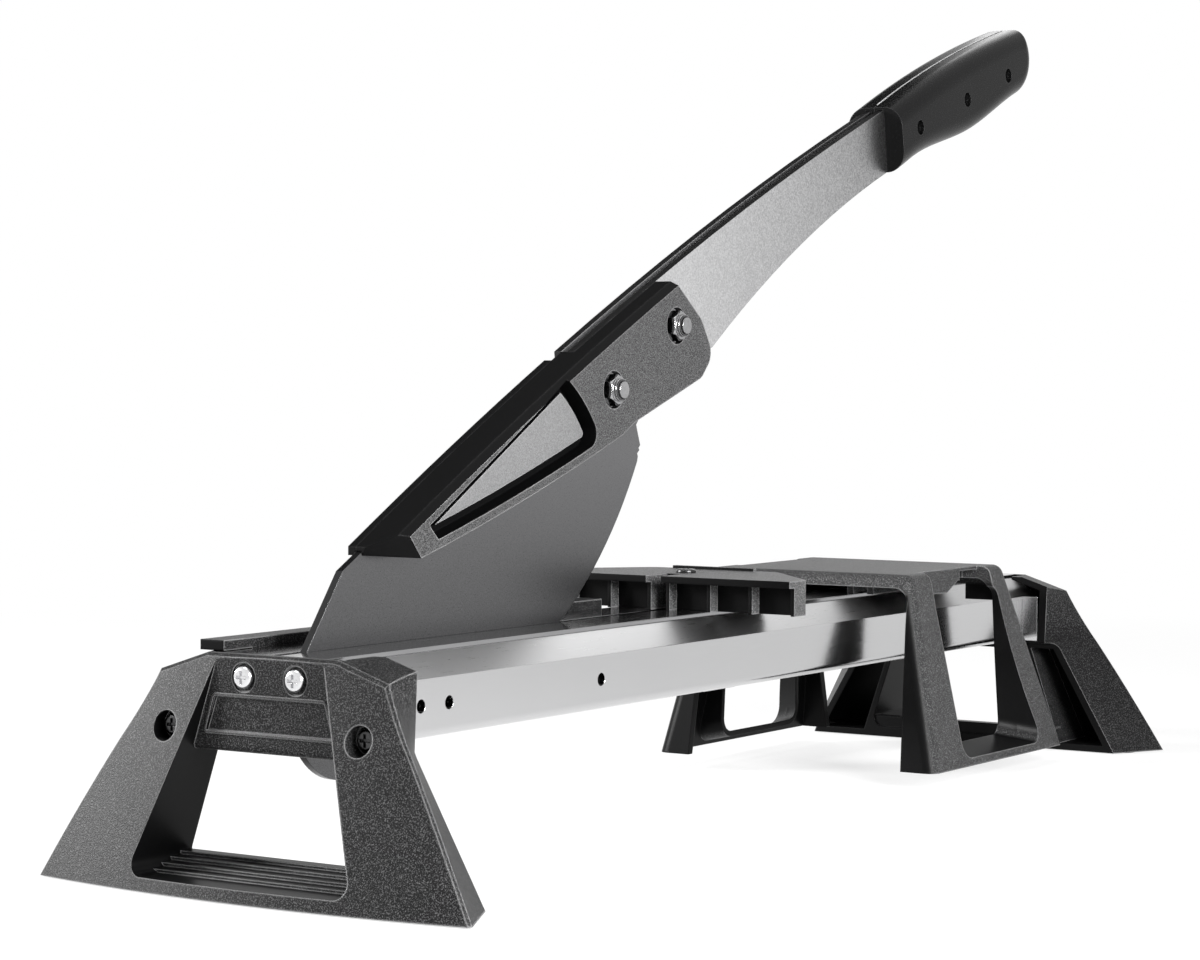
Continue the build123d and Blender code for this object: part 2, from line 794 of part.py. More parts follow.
def arm_outline():
    """Arm plate with the tang that runs into the handle."""
    first, last = handle_screw_spots[0], handle_screw_spots[-1]
    tang_slope = (last[1] - first[1]) / (last[0] - first[0])
    tang_start = from_grip((tang_front, 0.0))[0]
    tang_end = lever_reach - tang_end_margin

    def tang(x, side):
        return (x, first[1] + tang_slope * (x - first[0]) + side * tang_half_width)

    with BuildSketch() as outline:
        with BuildLine():
            top = spine_arc(arm_root, tang_start)
            low = bowed(from_grip(arm_edge_end), arm_edge_start, -arm_edge_sag)
            Polyline(
                top @ 1,
                tang(tang_start, 1),
                tang(tang_end, 1),
                tang(tang_end, -1),
                tang(tang_start, -1),
                low @ 0,
            )
            Polyline(low @ 1, arm_low, arm_root_low, top @ 0)
        make_face()
    return outline.sketch


def cover_outline():
    """Spine cover from its nose on the blade to its end on the arm."""
    with BuildSketch() as outline:
        with BuildLine():
            belly = ThreePointArc(cover_heel, cover_belly, cover_waist)
            top = spine_arc(cover_top_end, cover_nose[0])
            Polyline(belly @ 1, cover_step, cover_end_low, cover_end_mid, cover_end_high, top @ 0)
            Polyline(top @ 1, cover_nose, belly @ 0)
        make_face()
        fillet(outline.vertices().sort_by_distance(cover_end_mid)[:cover_end_corners], cover_end_rounding)
    return outline.sketch


def recess_outline(inset, corner):
    """Outline of the cover's recess, set in all round and with its rear corner rounded."""
    with BuildSketch() as outline:
        with BuildLine():
            belly = bowed(recess_front_low, recess_rear_low, -recess_belly)
            rear = bowed(recess_rear_low, recess_rear_high, -recess_bulge)
            Polyline(rear @ 1, recess_front_high, belly @ 0)
        make_face()
        if inset:
            offset(amount=-inset, mode=Mode.REPLACE)
        fillet(outline.vertices().sort_by(Axis.X)[-1], corner)
    return outline.sketch


def handle_outline():
    """Side view of the grip, round at its end and drawn in below."""
    slope = radians(handle_slope)
    corner = radians(handle_end_corner)
    below = slope - radians(90)

    def round_end(angle):
        x = handle_length - handle_end_radius + handle_end_radius * cos(angle)
        return from_grip((x, handle_end_height + handle_end_radius * sin(angle)))

    with BuildSketch() as outline:
        with BuildLine():
            top = bowed(from_grip(handle_front_top), round_end(corner), handle_crown)
            end = ThreePointArc(top @ 1, round_end((corner + below) / 2), round_end(below))
            low = Spline(
                end @ 1,
                from_grip(handle_belly),
                from_grip(handle_waist),
                from_grip(handle_front_low),
                tangents=((-cos(slope), -sin(slope)), (-cos(slope), -sin(slope))),
            )
            Line(low @ 1, top @ 0)
        make_face()
    return outline.sketch


def grown(outline):
    """The outline with the fitting clearance around it."""
    with BuildSketch() as wider:
        add(outline)
        offset(amount=fit_clearance, mode=Mode.REPLACE)
    return wider.sketch


# Blade and arm plates
with BuildPart() as blade:
    with BuildSketch(lever_plane.offset(-blade_half)):
        add(blade_outline())
        Circle(pivot_diameter / 2 + run_clearance, mode=Mode.SUBTRACT)
        with Locations(*arm_bolts_at):
            Circle(bolt_diameter / 2 + fit_clearance, mode=Mode.SUBTRACT)
        with Locations(*cover_screws_at):
            Circle(cover_screw_diameter / 2 + fit_clearance, mode=Mode.SUBTRACT)
    extrude(amount=blade_thickness)
save(blade, "blade")

with BuildPart() as arm_plate_near:
    with BuildSketch(lever_plane.offset(blade_half)):
        add(arm_outline())
        with Locations(*arm_bolts_at):
            Circle(bolt_diameter / 2 + fit_clearance, mode=Mode.SUBTRACT)
        with Locations(*handle_screw_spots):
            Circle(handle_screw_diameter / 2 + fit_clearance, mode=Mode.SUBTRACT)
    extrude(amount=arm_thickness)
save(arm_plate_near, "arm_plate_near")

with BuildPart() as arm_plate_far:
    mirror(arm_plate_near.part, about=Plane.XZ)
save(arm_plate_far, "arm_plate_far")

# Spine covers
with BuildPart() as spine_cover_near:
    with BuildSketch(lever_plane.offset(blade_half)):
        add(cover_outline())
    extrude(amount=cover_near_depth - blade_half)
    near_face = spine_cover_near.faces().sort_by(Axis.Y)[0]
    chamfer(near_face.edges().sort_by(SortBy.LENGTH)[-1], cover_ridge)
    nose_foot = lever_plane.offset(blade_half).from_local_coords(cover_nose)
    nose_low = lever_plane.offset(cover_near_depth).from_local_coords(cover_heel)
    nose_high = lever_plane.offset(cover_near_depth).from_local_coords(on_spine(cover_nose_high))
    nose_normal = (nose_low - nose_foot).cross(nose_high - nose_foot)
    split(bisect_by=Plane(origin=nose_foot, z_dir=nose_normal), keep=Keep.BOTTOM)
    recess = lever_plane.offset(cover_near_depth)
    with BuildSketch(recess):
        add(recess_outline(0.0, recess_corner))
    extrude(amount=-recess_depth, mode=Mode.SUBTRACT)
    with BuildSketch(recess.offset(-recess_depth)):
        add(recess_outline(recess_channel, recess_corner - recess_channel))
    extrude(amount=recess_depth - recess_panel_drop)
    with BuildSketch(lever_plane.offset(blade_half)):
        add(grown(arm_outline()))
    extrude(amount=arm_thickness, mode=Mode.SUBTRACT)
    with BuildSketch(lever_plane.offset(-blade_half)):
        with Locations((arm_root, 0)):
            Rectangle(arm_root, on_spine(arm_root)[1] * 2, align=(Align.MAX, Align.CENTER))
        add(cover_outline(), mode=Mode.INTERSECT)
        add(grown(blade_outline()), mode=Mode.SUBTRACT)
    extrude(amount=blade_thickness)
    with BuildSketch(lever_plane.offset(cover_near_depth)):
        with Locations(*arm_bolts_at):
            Circle(nut_recess_diameter / 2)
    extrude(amount=-nut_recess_depth, mode=Mode.SUBTRACT)
    with BuildSketch(lever_plane.offset(cover_near_depth)):
        with Locations(*arm_bolts_at):
            Circle(bolt_diameter / 2 + fit_clearance)
    extrude(amount=-cover_near_depth, mode=Mode.SUBTRACT)
    with BuildSketch(lever_plane.offset(blade_half)):
        with Locations(*cover_screws_at):
            Circle(cover_screw_diameter / 2 + fit_clearance)
    extrude(amount=cover_screw_length - arm_outer, mode=Mode.SUBTRACT)
save(spine_cover_near, "spine_cover_near")

with BuildPart() as spine_cover_far:
    with BuildSketch(lever_plane.offset(-arm_outer)):
        with Locations((far_cover_end, 0)):
            Rectangle(far_cover_end, on_spine(arm_root)[1] * 2, align=(Align.MAX, Align.CENTER))
        add(cover_outline(), mode=Mode.INTERSECT)
        with Locations(*cover_screws_at):
            Circle(cover_screw_diameter / 2 + fit_clearance, mode=Mode.SUBTRACT)
    extrude(amount=arm_thickness)
save(spine_cover_far, "spine_cover_far")

with BuildPart() as cover_screws:
    add(
        pan_screws(
            lever_plane.offset(-arm_outer),
            cover_screws_at,
            cover_screw_diameter,
            cover_screw_length,
            cover_screw_head,
            handle_screw_head_height,
        )
    )
save(cover_screws, "cover_screws")

# Bolts through the arm and their lock nuts
nut_seat = cover_near_depth - nut_recess_depth
with BuildPart() as arm_bolts:
    add(hex_heads(lever_plane.offset(-arm_outer - pivot_head_height), arm_bolts_at, pivot_head_height))
    with BuildSketch(lever_plane.offset(-arm_outer)):
        with Locations(*arm_bolts_at):
            Circle(bolt_diameter / 2)
    extrude(amount=arm_outer + nut_seat + nut_height + nut_collar_height + bolt_end)
save(arm_bolts, "arm_bolts")

with BuildPart() as arm_nuts:
    add(hex_heads(lever_plane.offset(nut_seat), arm_bolts_at, nut_height))
    with BuildSketch(lever_plane.offset(nut_seat + nut_height)):
        with Locations(*arm_bolts_at):
            Circle(nut_collar_diameter / 2)
    extrude(amount=nut_collar_height)
    with BuildSketch(lever_plane.offset(nut_seat)):
        with Locations(*arm_bolts_at):
            Circle(bolt_diameter / 2 + fit_clearance)
    extrude(amount=nut_height + nut_collar_height, mode=Mode.SUBTRACT)
save(arm_nuts, "arm_nuts")


# Handle halves and their screws
def handle_half():
    """Near half of the grip with its pocket for the arm plate."""
    with BuildPart() as half:
        with BuildSketch(lever_plane):
            add(handle_outline())
        extrude(amount=handle_half_width)
        outer_edges = half.faces().sort_by(Axis.Y)[0].edges().sort_by(Axis.X)
        fillet(outer_edges[1:], handle_rounding)
        with BuildSketch(lever_plane.offset(blade_half)):
            add(grown(arm_outline()))
        extrude(amount=arm_thickness, mode=Mode.SUBTRACT)
        with BuildSketch(lever_plane):
            with Locations(*handle_screw_spots):
                Circle(handle_screw_diameter / 2 + fit_clearance)
        extrude(amount=handle_half_width - handle_bore_depth, mode=Mode.SUBTRACT)
    return half.part


with BuildPart() as handle_half_near:
    add(handle_half())
    with BuildSketch(lever_plane.offset(handle_half_width)):
        with Locations(*handle_screw_spots):
            Circle(handle_bore_diameter / 2)
    extrude(amount=-handle_bore_depth, mode=Mode.SUBTRACT)
save(handle_half_near, "handle_half_near")

with BuildPart() as handle_half_far:
    mirror(handle_half(), about=Plane.XZ)
save(handle_half_far, "handle_half_far")

handle_seat = Plane(
    origin=(pivot_x, handle_bore_depth - handle_half_width, pivot_height),
    x_dir=(1, 0, 0),
    z_dir=(0, 1, 0),
)
with BuildPart() as handle_screws:
    add(
        pan_screws(
            handle_seat,
            flipped(handle_screw_spots),
            handle_screw_diameter,
            handle_screw_length,
            handle_screw_head,
            handle_screw_head_height,
        )
    )
save(handle_screws, "handle_screws")

# Support bridge: a moulded saddle that hangs over the rails
slab_low = bridge_top - bridge_slab
bridge_levels = (
    (bridge_low, bridge_front_low, bridge_rear_low, bridge_low_half),
    (bridge_top, bridge_front_top, bridge_rear_top, bridge_top_half),
)

with BuildPart() as bridge_block:
    for height, front, rear, half in bridge_levels:
        with BuildSketch(Plane.XY.offset(height)):
            with Locations((front_edge + (front + rear) / 2, 0)):
                Rectangle(rear - front, half * 2)
    loft(ruled=True)
    fillet(bridge_block.edges().group_by(Axis.Z)[1], bridge_corner)
    fillet(bridge_block.faces().sort_by(Axis.Z)[-1].edges(), bridge_rounding)
    with BuildSketch(Plane.YZ.offset(front_edge + bridge_front_low)) as tunnel:
        Polygon(
            (-tunnel_low_half, bridge_low),
            (tunnel_low_half, bridge_low),
            (tunnel_top_half, slab_low),
            (-tunnel_top_half, slab_low),
        )
        fillet(tunnel.vertices().group_by(Axis.Y)[-1], tunnel_corner)
    extrude(amount=bridge_rear_low - bridge_front_low, mode=Mode.SUBTRACT)


def leg_window(spread):
    """Window of both legs, drawn in towards the rails and widened by a spread."""
    with BuildPart() as window:
        for depth, corners in (
            (tunnel_top_half - overcut, bridge_window_inner),
            (bridge_low_half + overcut, bridge_window_outer),
        ):
            with BuildSketch(Plane.XZ.offset(depth)) as section:
                Polygon(*[(front_edge + back, height) for back, height in corners])
                fillet(section.vertices(), bridge_window_corner)
                if spread:
                    offset(amount=spread, mode=Mode.REPLACE)
        loft(ruled=True)
        mirror(about=Plane.XZ)
    return window.part


def top_notch(spread):
    """Room above both windows, beside the top plate, widened by a spread."""
    notch_front, window_top = bridge_window_outer[1]
    notch_rear = bridge_window_outer[2][0]
    with BuildPart() as notch:
        with BuildSketch(Plane.XY.offset(window_top - bridge_window_corner)):
            with Locations((front_edge + notch_front - spread, bridge_notch_half)):
                Rectangle(notch_rear - notch_front + 2 * spread, bridge_low_half, align=Align.MIN)
            mirror(about=Plane.XZ)
        extrude(amount=bridge_top)
    return notch.part


with BuildPart() as bridge_linings:
    add(leg_window(bridge_lining))
    add(top_notch(bridge_lining))
    add(bridge_block.part, mode=Mode.INTERSECT)

with BuildPart() as support_bridge:
    add(bridge_block.part)
    hollow_levels = ((bridge_low - overcut, *bridge_levels[0][1:]), (slab_low, *bridge_levels[1][1:]))
    for height, front, rear, half in hollow_levels:
        with BuildSketch(Plane.XY.offset(height)):
            with Locations((front_edge + (front + rear) / 2, 0)):
                Rectangle(rear - front - 2 * bridge_wall, (half - bridge_wall) * 2)
    loft(ruled=True, mode=Mode.SUBTRACT)
    add(bridge_linings.part)
    add(leg_window(0.0), mode=Mode.SUBTRACT)
    add(top_notch(0.0), mode=Mode.SUBTRACT)
    with BuildSketch(Plane.XY.offset(bridge_top - bridge_rim)):
        with Locations((front_edge + bridge_window_outer[2][0], bridge_notch_half)):
            Rectangle(bridge_window_outer[2][0] - bridge_skirt_rear_top, bridge_rim_depth, align=Align.MAX)
        mirror(about=Plane.XZ)
    extrude(amount=-bridge_slab, mode=Mode.SUBTRACT)
    for start in (bridge_notch_half - bridge_skirt, -bridge_notch_half):
        with BuildSketch(Plane.XZ.offset(start)):
            with Locations((front_edge, 0)):
                Polygon(
                    (bridge_window_outer[1][0] - bridge_lining, bridge_skirt_low),
                    (bridge_skirt_rear_low, bridge_skirt_low),
                    (bridge_skirt_rear_top, slab_low + overcut),
                    (bridge_window_outer[1][0] - bridge_lining, slab_low + overcut),
                    align=None,
                )
        extrude(amount=bridge_skirt)
    with BuildSketch(Plane.XY.offset(bed_height)):
        with Locations((front_edge + bridge_rib_front, bridge_rib_half)):
            Rectangle(bridge_rib_rear - bridge_rib_front, bridge_rib, align=(Align.MIN, Align.CENTER))
        with Locations((front_edge + bridge_rib_front, bridge_short_rib_half)):
            Rectangle(bridge_short_rib, bridge_rib, align=(Align.MIN, Align.CENTER))
        mirror(about=Plane.XZ)
    extrude(amount=slab_low - bed_height)
    guide_start = rail_half_width + bridge_guide_gap
    with BuildSketch(Plane.YZ.offset(front_edge + bridge_guide_back)):
        with Locations((0, slab_low)):
            Rectangle(tunnel_top_half * 2, slab_low - bridge_guide_low, align=(Align.CENTER, Align.MAX))
        with Locations((0, bed_height + bridge_guide_gap)):
            Rectangle(guide_start * 2, bed_height, align=(Align.CENTER, Align.MAX), mode=Mode.SUBTRACT)
    extrude(amount=bridge_rib)
save(support_bridge, "support_bridge")
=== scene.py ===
"""Studio scene of a laminate flooring cutter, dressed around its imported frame."""

from __future__ import annotations

import json
import logging
import math
from dataclasses import dataclass, field
from enum import Enum

import bpy
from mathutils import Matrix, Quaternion, Vector

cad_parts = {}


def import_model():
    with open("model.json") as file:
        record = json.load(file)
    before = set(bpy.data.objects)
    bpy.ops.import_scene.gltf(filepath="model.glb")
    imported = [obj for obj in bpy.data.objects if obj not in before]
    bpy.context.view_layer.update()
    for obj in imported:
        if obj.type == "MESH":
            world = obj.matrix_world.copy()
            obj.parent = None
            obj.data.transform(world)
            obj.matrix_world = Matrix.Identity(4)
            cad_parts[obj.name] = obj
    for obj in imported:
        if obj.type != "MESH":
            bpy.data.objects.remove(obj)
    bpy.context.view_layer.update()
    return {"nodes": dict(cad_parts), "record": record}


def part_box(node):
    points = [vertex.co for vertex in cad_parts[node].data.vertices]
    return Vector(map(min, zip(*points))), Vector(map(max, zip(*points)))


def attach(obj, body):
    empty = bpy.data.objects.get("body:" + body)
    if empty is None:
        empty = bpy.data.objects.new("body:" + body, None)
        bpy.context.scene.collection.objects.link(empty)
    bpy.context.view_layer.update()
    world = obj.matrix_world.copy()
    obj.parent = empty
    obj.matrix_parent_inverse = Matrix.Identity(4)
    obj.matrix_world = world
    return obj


LOG = logging.getLogger("flooring_cutter")

Colour = tuple[float, float, float]
Point = tuple[float, float, float]
Spot = tuple[float, float]
Span = tuple[float, float]
Socket = bpy.types.NodeSocket

PIVOT_JOINT = "lever_pivot"
# Distance from the front edge of the base to the lever's pivot
PIVOT_BACK = 0.0647

# Most of a noise pattern lies between these values
NOISE_SPAN: Span = (0.3, 0.7)
# Share of the finer waves in a noise pattern
NOISE_ROUGHNESS = 0.6
# A pattern that is the same along all three axes
EVEN: Point = (1.0, 1.0, 1.0)
# Cosine of the angle between a softened normal and its face, from no edge to full edge
EDGE_TURN: Span = (0.99, 0.86)
EDGE_SAMPLES = 4

# The edges of trim are rounded by these shares of its rise
RING_SOFTNESS = 0.4
SEAM_SOFTNESS = 0.3
SOFT_SEGMENTS = 3
SMOOTH_ANGLE = math.radians(40.0)

# Places of the factor, the two colours and the result among the sockets of a colour mix
MIX_FACTOR = 0
MIX_COLOURS = (6, 7)
MIX_RESULT = 2

# Rays that see the studio as white
SEEN_RAYS = ("Is Camera Ray", "Is Glossy Ray", "Is Transmission Ray")


class Body(Enum):
    """The three rigid bodies of the cutter."""

    BASE = "base"
    LEVER = "lever"
    BRIDGE = "bridge"


class Slot(Enum):
    """The record's material slots, named for the new pieces."""

    BLACK_PLASTIC = "black_plastic"
    HANDLE_PLASTIC = "handle_plastic"


class Skin(Enum):
    """Where a plastic moulding is smooth instead of grained and dark; on the feet and the bridge that dark
    is painted shade.
    """

    FOOT = "inside the window and on the sill"
    BRIDGE = "on the front and rear walls and in the windows"
    FENCE = "on the stop face"
    COVER = "everywhere but on the near face"


class Shader:
    """A material's node tree, with short calls for adding and joining nodes."""

    def __init__(self, name: str) -> None:
        """Start a material with one surface shader.

        Args:
            name: The material's name.
        """
        self.material = bpy.data.materials.new(name)
        self.material.use_nodes = True
        self.tree = self.material.node_tree
        self.tree.nodes.clear()
        self.output = self.node("ShaderNodeOutputMaterial")
        self.surface = self.node("ShaderNodeBsdfPrincipled")
        self.link(self.surface.outputs["BSDF"], self.output.inputs["Surface"])
        self.place = self.node("ShaderNodeTexCoord")

    def node(self, kind: str, **values: object) -> bpy.types.Node:
        """Add a node and set its sockets or its own settings.

        Args:
            kind: Blender's name of the node type.
            values: Socket names with _ for a space, or settings of the node.

        Returns:
            The new node.
        """
        made = self.tree.nodes.new(kind)
        for key, value in values.items():
            socket = made.inputs.get(key.replace("_", " "))
            if socket is None:
                setattr(made, key, value)
            else:
                socket.default_value = value
        return made

    def link(self, source: Socket, target: Socket) -> None:
        """Join an output to an input."""
        self.tree.links.new(source, target)

    def feed(self, **sources: Socket) -> None:
        """Link sockets into the surface shader, with _ for a space in their names."""
        for key, source in sources.items():
            self.link(source, self.surface.inputs[key.replace("_", " ")])

    def set(self, **values: object) -> None:
        """Set sockets of the surface shader, with _ for a space in their names."""
        for key, value in values.items():
            self.surface.inputs[key.replace("_", " ")].default_value = value

    def calc(self, operation: str, *values: Socket | float) -> Socket:
        """Work out a number.

        Args:
            operation: Blender's name of the sum.
            values: Sockets or plain numbers.

        Returns:
            The result's socket.
        """
        made = self.node("ShaderNodeMath", operation=operation)
        for index, value in enumerate(values):
            if isinstance(value, (int, float)):
                made.inputs[index].default_value = value
            else:
                self.link(value, made.inputs[index])
        return made.outputs[0]

    def most(self, *values: Socket) -> Socket:
        """The largest of several numbers.

        Args:
            values: Sockets to compare.

        Returns:
            The result's socket.
        """
        result = values[0]
        for value in values[1:]:
            result = self.calc("MAXIMUM", result, value)
        return result

    def parts(self, kind: str) -> tuple[Socket, Socket, Socket]:
        """X, Y and Z of the object's own coordinates or normals.

        Args:
            kind: Object or Normal.

        Returns:
            The three sockets.
        """
        split = self.node("ShaderNodeSeparateXYZ")
        self.link(self.place.outputs[kind], split.inputs[0])
        return split.outputs[0], split.outputs[1], split.outputs[2]

    def noise(self, scale: float, detail: float = 2.0, stretch: Point = EVEN) -> Socket:
        """Add a noise pattern in object space.

        Args:
            scale: Waves per metre.
            detail: Octaves of finer waves.
            stretch: Scale along each axis, for brushed patterns.

        Returns:
            The pattern's socket.
        """
        mapping = self.node("ShaderNodeMapping", Scale=stretch)
        self.link(self.place.outputs["Object"], mapping.inputs["Vector"])
        noise = self.node("ShaderNodeTexNoise", Scale=scale, Detail=detail, Roughness=NOISE_ROUGHNESS)
        self.link(mapping.outputs[0], noise.inputs["Vector"])
        return noise.outputs[0]

    def ramp(self, value: Socket, low: float, high: float, start: float = 0.0, end: float = 1.0) -> Socket:
        """Map a value between two bounds to a range, held at its ends.

        Args:
            value: The value.
            low: Value that gives start.
            high: Value that gives end.
            start: Result at low.
            end: Result at high.

        Returns:
            The result's socket.
        """
        mapped = self.node("ShaderNodeMapRange", From_Min=low, From_Max=high, To_Min=start, To_Max=end)
        self.link(value, mapped.inputs["Value"])
        return mapped.outputs[0]

    def tint(self, factor: Socket, first: Colour | Socket, second: Colour | Socket) -> Socket:
        """Mix two colours by a factor.

        Args:
            factor: Share of the second colour.
            first: Colour at 0, as numbers or a socket.
            second: Colour at 1, as numbers or a socket.

        Returns:
            The colour's socket.
        """
        mix = self.node("ShaderNodeMix", data_type="RGBA")
        self.link(factor, mix.inputs[MIX_FACTOR])
        for index, colour in zip(MIX_COLOURS, (first, second)):
            if isinstance(colour, tuple):
                mix.inputs[index].default_value = (*colour, 1.0)
            else:
                self.link(colour, mix.inputs[index])
        return mix.outputs[MIX_RESULT]

    def rounded(self, radius: float) -> tuple[Socket, Socket]:
        """Soften the edges of a moulding.

        Args:
            radius: Radius of the soft edge in metres.

        Returns:
            The softened normal, and a mask that is 1 on the edges.
        """
        bevel = self.node("ShaderNodeBevel", samples=EDGE_SAMPLES, Radius=radius)
        flat = self.node("ShaderNodeNewGeometry")
        turn = self.node("ShaderNodeVectorMath", operation="DOT_PRODUCT")
        self.link(bevel.outputs[0], turn.inputs[0])
        self.link(flat.outputs["Normal"], turn.inputs[1])
        return bevel.outputs[0], self.ramp(turn.outputs["Value"], *EDGE_TURN)

    def bump(self, height: Socket, strength: float, distance: float, below: Socket | None = None) -> Socket:
        """Add a bump from a height pattern.

        Args:
            height: The height pattern.
            strength: Share of the bump that shows.
            distance: Height of the bump in metres.
            below: Normal that the bump lies on.

        Returns:
            The bumped normal's socket.
        """
        bump = self.node("ShaderNodeBump", Strength=strength, Distance=distance)
        self.link(height, bump.inputs["Height"])
        if below is not None:
            self.link(below, bump.inputs["Normal"])
        return bump.outputs[0]


@dataclass(frozen=True)
class GrainedPlastic:
    """Moulded black plastic with a spark-eroded grain on its show faces, a highlight painted on its edges
    and, on the feet and the bridge, shade painted on its smooth faces.

    The spans that end in turn are bounds on a part of the face's normal, and those that end in fade
    are bounds on a height, each from grained to smooth. The fleck's bounds lie on the grain's pattern,
    and patches and the edge highlight span are the least and most that show of the flecks and of the
    highlight painted on the edges.
    """

    name: str
    skin: Skin
    dark: Colour = (0.007, 0.007, 0.0072)
    light: Colour = (0.095, 0.095, 0.096)
    # Colour of the smooth faces; on the feet and the bridge it is painted shade in hollows, windows and on
    # walls
    smooth_and_shade_colour: Colour = (0.0025, 0.0025, 0.0026)
    # Light colour painted on the rounded edges as a highlight
    edge: Colour = (0.34, 0.34, 0.342)
    roughness: float = 0.38
    bare_roughness: float = 0.34
    specular: float = 0.06
    grain: float = 0.0006
    height: float = 0.00016
    bump_share: float = 0.8
    edge_radius: float = 0.0011
    cloud_scale: float = 11.0
    fleck: Span = (0.5, 0.72)
    patches: Span = (0.75, 1.0)
    # Least and most of the painted edge highlight that shows, following the cloud
    edge_highlight_span: Span = (0.45, 0.8)
    inward_turn: Span = (-0.3, -0.6)
    inner_turn: Span = (-0.4, -0.7)
    upward_turn: Span = (0.6, 0.9)
    sill_fade: Span = (0.03, 0.025)
    end_turn: Span = (0.5, 0.8)
    top_fade: Span = (0.104, 0.1)
    stop_turn: Span = (-0.5, -0.8)
    face_turn: Span = (-0.97, -0.85)

    def smooth_mask(self, shader: Shader) -> Socket:
        """Mask of the faces without grain, which take the dark colour; on the feet and the bridge that
        colour is painted shade.

        Args:
            shader: The material's node tree.

        Returns:
            The mask's socket, 1 where the face is smooth.
        """
        along, across, height = shader.parts("Object")
        turn_x, turn_y, turn_z = shader.parts("Normal")
        if self.skin is Skin.FENCE:
            return shader.ramp(turn_x, *self.stop_turn)
        if self.skin is Skin.COVER:
            return shader.ramp(turn_y, *self.face_turn)
        # Painted shade: faces towards the middle, the sill and, on the feet, faces towards the bed take the
        # dark colour
        towards_middle = shader.calc("MULTIPLY", turn_y, shader.calc("SIGN", across))
        inward = shader.ramp(towards_middle, *self.inward_turn)
        up = shader.ramp(turn_z, *self.upward_turn)
        sill = shader.calc("MULTIPLY", up, shader.ramp(height, *self.sill_fade))
        if self.skin is Skin.FOOT:
            towards_bed = shader.calc("MULTIPLY", turn_x, shader.calc("SIGN", along))
            return shader.most(inward, shader.ramp(towards_bed, *self.inner_turn), sill)
        # Painted shade: the bridge's front and rear walls below its top take the dark colour too
        ends = shader.ramp(shader.calc("ABSOLUTE", turn_x), *self.end_turn)
        walls = shader.calc("MULTIPLY", ends, shader.ramp(height, *self.top_fade))
        return shader.most(walls, inward, sill)

    def face_colour(self, shader: Shader, grain: Socket, cloud: Socket) -> Socket:
        """Colour of the grained faces.

        Args:
            shader: The material's node tree.
            grain: The fine grain.
            cloud: The slow cloudiness.

        Returns:
            The colour's socket.
        """
        patches = shader.ramp(cloud, *NOISE_SPAN, *self.patches)
        fleck = shader.calc("MULTIPLY", shader.ramp(grain, *self.fleck), patches)
        return shader.tint(fleck, self.dark, self.light)

    def material(self) -> bpy.types.Material:
        """Build the material.

        Returns:
            The finished material.
        """
        shader = Shader(self.name)
        grain = shader.noise(1.0 / self.grain)
        cloud = shader.noise(self.cloud_scale, detail=3.0)
        smooth = self.smooth_mask(shader)
        grained = shader.calc("SUBTRACT", 1.0, smooth)
        # The smooth faces take the dark colour, which on the feet and the bridge is painted shade
        colour = shader.tint(smooth, self.face_colour(shader, grain, cloud), self.smooth_and_shade_colour)
        normal, edge = shader.rounded(self.edge_radius)
        # Painted highlight: the rounded edges take the light edge colour, patchy by the cloud
        painted_edge_highlight = shader.calc("MULTIPLY", edge, shader.ramp(cloud, *NOISE_SPAN, *self.edge_highlight_span))
        relief = shader.calc("MULTIPLY", grain, grained)
        shader.feed(
            Base_Color=shader.tint(shader.calc("MULTIPLY", painted_edge_highlight, grained), colour, self.edge),
            Roughness=shader.ramp(smooth, 0.0, 1.0, self.roughness, self.bare_roughness),
            Normal=shader.bump(relief, self.bump_share, self.height, normal),
        )
        shader.set(Specular_IOR_Level=self.specular)
        return shader.material


@dataclass(frozen=True)
class CoverPlastic(GrainedPlastic):
    """Grained plastic of the spine covers, lighter in the recessed panel and black in its channel."""

    panel: Colour = (0.15, 0.15, 0.1515)
    fleck: Span = (0.36, 0.68)
    face_depth: float = -0.0175
    panel_depth: float = -0.013
    channel_depth: float = -0.0085
    step_half: float = 0.0002

    def below(self, shader: Shader, outer: float, inner: float) -> Socket:
        """Mask of the faces that lie nearer to a deeper level than to the one outside it.

        Args:
            shader: The material's node tree.
            outer: The outer level along Y.
            inner: The deeper level along Y.

        Returns:
            The mask's socket, 1 at the deeper level.
        """
        _, depth, _ = shader.parts("Object")
        split = (outer + inner) / 2
        return shader.ramp(depth, split - self.step_half, split + self.step_half)

    def smooth_mask(self, shader: Shader) -> Socket:
        """Mask of the faces without grain, the channel among them.

        Args:
            shader: The material's node tree.

        Returns:
            The mask's socket, 1 where the face is smooth.
        """
        channel = self.below(shader, self.panel_depth, self.channel_depth)
        return shader.most(super().smooth_mask(shader), channel)

    def face_colour(self, shader: Shader, grain: Socket, cloud: Socket) -> Socket:
        """Colour of the grained faces, lighter in the panel.

        Args:
            shader: The material's node tree.
            grain: The fine grain.
            cloud: The slow cloudiness, which this colour doesn't follow.

        Returns:
            The colour's socket.
        """
        fleck = shader.ramp(grain, *self.fleck)
        outer = shader.tint(fleck, self.dark, self.light)
        inner = shader.tint(fleck, self.light, self.panel)
        return shader.tint(self.below(shader, self.face_depth, self.panel_depth), outer, inner)


